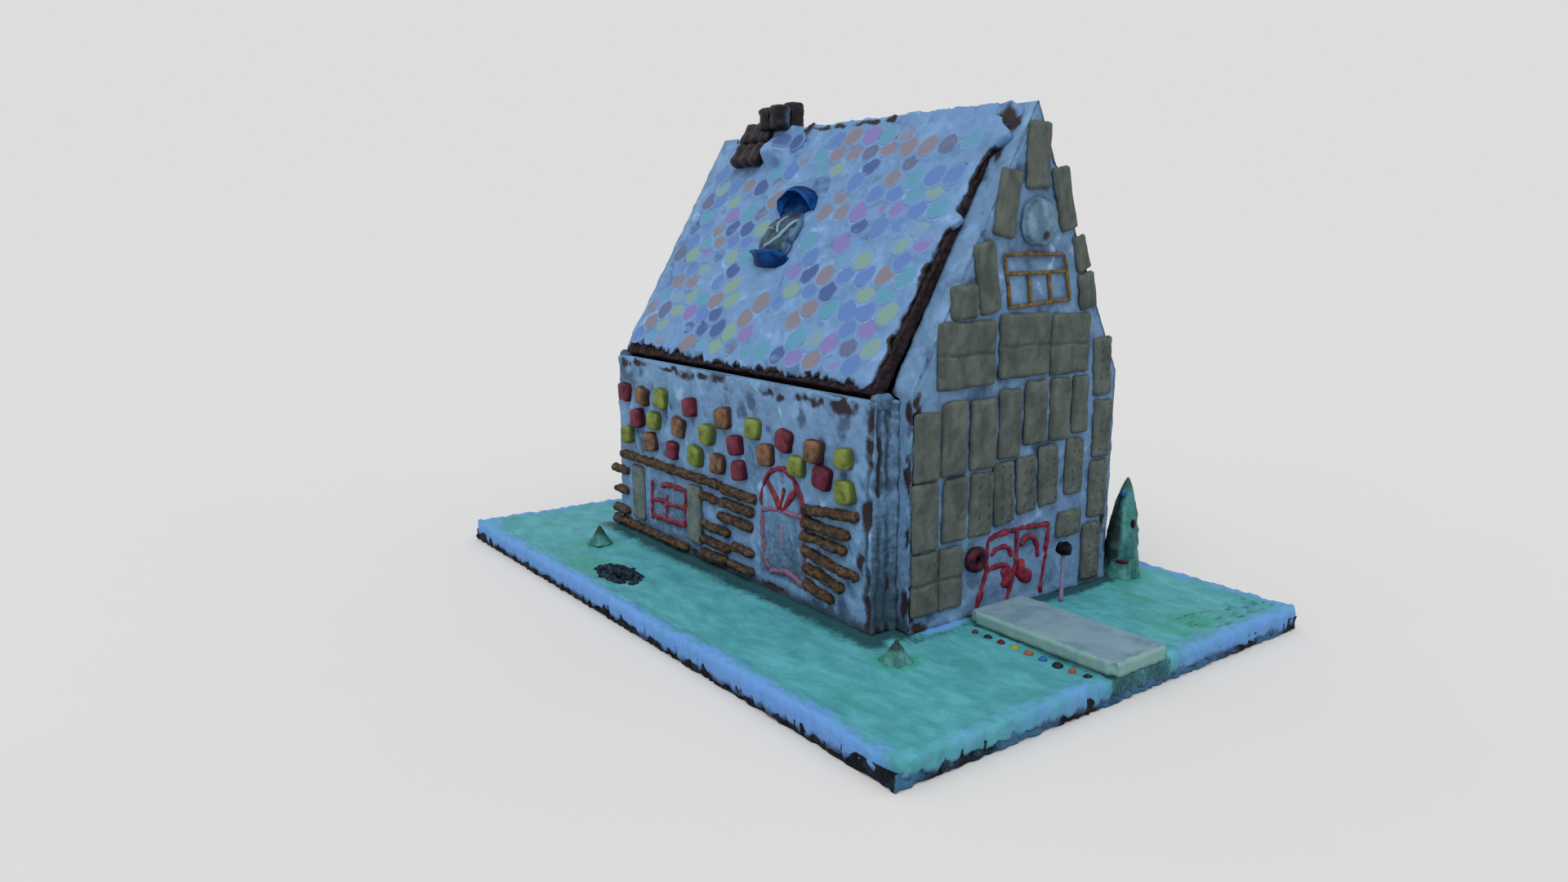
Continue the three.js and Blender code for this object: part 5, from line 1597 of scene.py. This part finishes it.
# Sweets in the tree: the way each faces, its height, half its width and height, and its
# colour, 0 for red and 1 for blue.
TREE_BITS = [(-1.64, 57, 2.2, 4.4, 0), (-2.42, 19, 6.5, 2.2, 0), (-2.62, 87, 3.0, 3.8, 1),
             (-0.7, 48, 2.6, 2.8, 0), (0.9, 66, 2.8, 3, 1), (1.8, 30, 3, 3, 0)]


def tree_bits():
    """Small sweets pressed into the tree."""
    build = Build()
    for angle, z, wide, tall, slot in TREE_BITS:
        reach = TREE["radius"] * (1 - (z / TREE["height"]) ** TREE["bulge"]) ** TREE["blunt"]

        def on_tree(a, b, out, angle=angle, z=z, reach=reach):
            cos, sin = math.cos(angle), math.sin(angle)
            return on_ground(TREE["x"] + (reach + out) * cos - a * sin,
                             TREE["y"] + (reach + out) * sin + a * cos, z + b)
        build.mound(on_tree, (0, 0), (wide, tall), [(-3, 1), (0, 1), (0.9, 0.7), (1.2, 0.2)], 14, 2,
                    lumps=0.2, grain=4, slot=slot)
    dress("tree_bits", build, [dark_red, PEBBLES["blue"]], ["tree"])


def coal():
    """A heap of dark lumps, tallest in its middle."""
    build = Build()
    draw = seeded(7)
    for n in range(COAL["lumps"]):
        angle = 2 * math.pi * next(draw)
        reach = math.sqrt(next(draw)) * 0.46
        size = 2.2 + 3.8 * next(draw)
        x = COAL["x"] + COAL["wide"] * reach * math.cos(angle)
        y = COAL["y"] + COAL["long"] * reach * math.sin(angle)
        tall = 2.0 + 6 * (1 - reach * 2) * next(draw)
        build.mound(on_ground, (x, y), (size, size * 0.7), [(-0.6, 1), (tall * 0.5, 0.95),
                    (tall, 0.5), (tall * 1.05, 0.1)], 9, 2.2, turn=angle * 3, lumps=0.4, grain=4, seed=n)
    dress("coal_lumps", build, [coal_finish], ["coal"])


path_slab()
cone("tree_cone", "tree", TREE, 64, 90, 0.12)
tree_bits()
for shrub, spec in SHRUBS.items():
    cone(f"{shrub}_cone", shrub, spec, 30, 26, 0.16)
coal()

# The gingerbread panels behind the icing keep their CAD solids.
for node in ("wall_front", "wall_back", "wall_left", "wall_right"):
    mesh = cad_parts[node].data
    mesh.materials.clear()
    mesh.materials.append(gingerbread)


# ---- camera, floor and light ----
CAMERA = {"place": (-0.69688, -0.85211, 0.36242), "azimuth": -36.5, "elevation": 10.9,
          "lens": 24.444, "sensor": 36}
BACKDROP = tone(221, 221, 221)
KEY = {"strength": 1.6, "direction": (-0.42, -0.38, 0.82), "spread": 50}


def add_camera():
    azimuth, elevation = (math.radians(CAMERA[key]) for key in ("azimuth", "elevation"))
    away = Vector((math.sin(azimuth) * math.cos(elevation),
                   -math.cos(azimuth) * math.cos(elevation), math.sin(elevation)))
    camera = bpy.data.cameras.new("camera")
    camera.lens = CAMERA["lens"]
    camera.sensor_width = CAMERA["sensor"]
    camera.clip_end = 200
    holder = placed("camera", camera)
    holder.location = CAMERA["place"]
    holder.rotation_euler = (-away).to_track_quat("-Z", "Y").to_euler()
    bpy.context.scene.camera = holder


def add_floor():
    half = 60
    mesh = bpy.data.meshes.new("floor")
    mesh.from_pydata([(-half, -half, 0), (half, -half, 0), (half, half, 0), (-half, half, 0)], [],
                     [(0, 1, 2, 3)])
    floor = placed("floor", mesh)
    pale = [(209, 209, 209), (210, 210, 210)]
    mesh.materials.append(finish("floor", pale, 400, roughness=1.0, specular=0.0, bump=(40, 0.05)))
    floor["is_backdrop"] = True


def add_light():
    world = bpy.data.worlds.new("studio")
    world.use_nodes = True
    shade = world.node_tree.nodes["Background"]
    shade.inputs["Color"].default_value = BACKDROP
    bpy.context.scene.world = world
    lamp_data = bpy.data.lights.new("key", "SUN")
    lamp_data.energy = KEY["strength"]
    lamp_data.angle = math.radians(KEY["spread"])
    key = placed("key", lamp_data)
    key.rotation_euler = Vector(KEY["direction"]).to_track_quat("Z", "Y").to_euler()


add_camera()
add_floor()
add_light()
bpy.context.scene.view_settings.view_transform = "Standard"

[[list(corner) for corner in box] for box in (cad_box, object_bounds())]
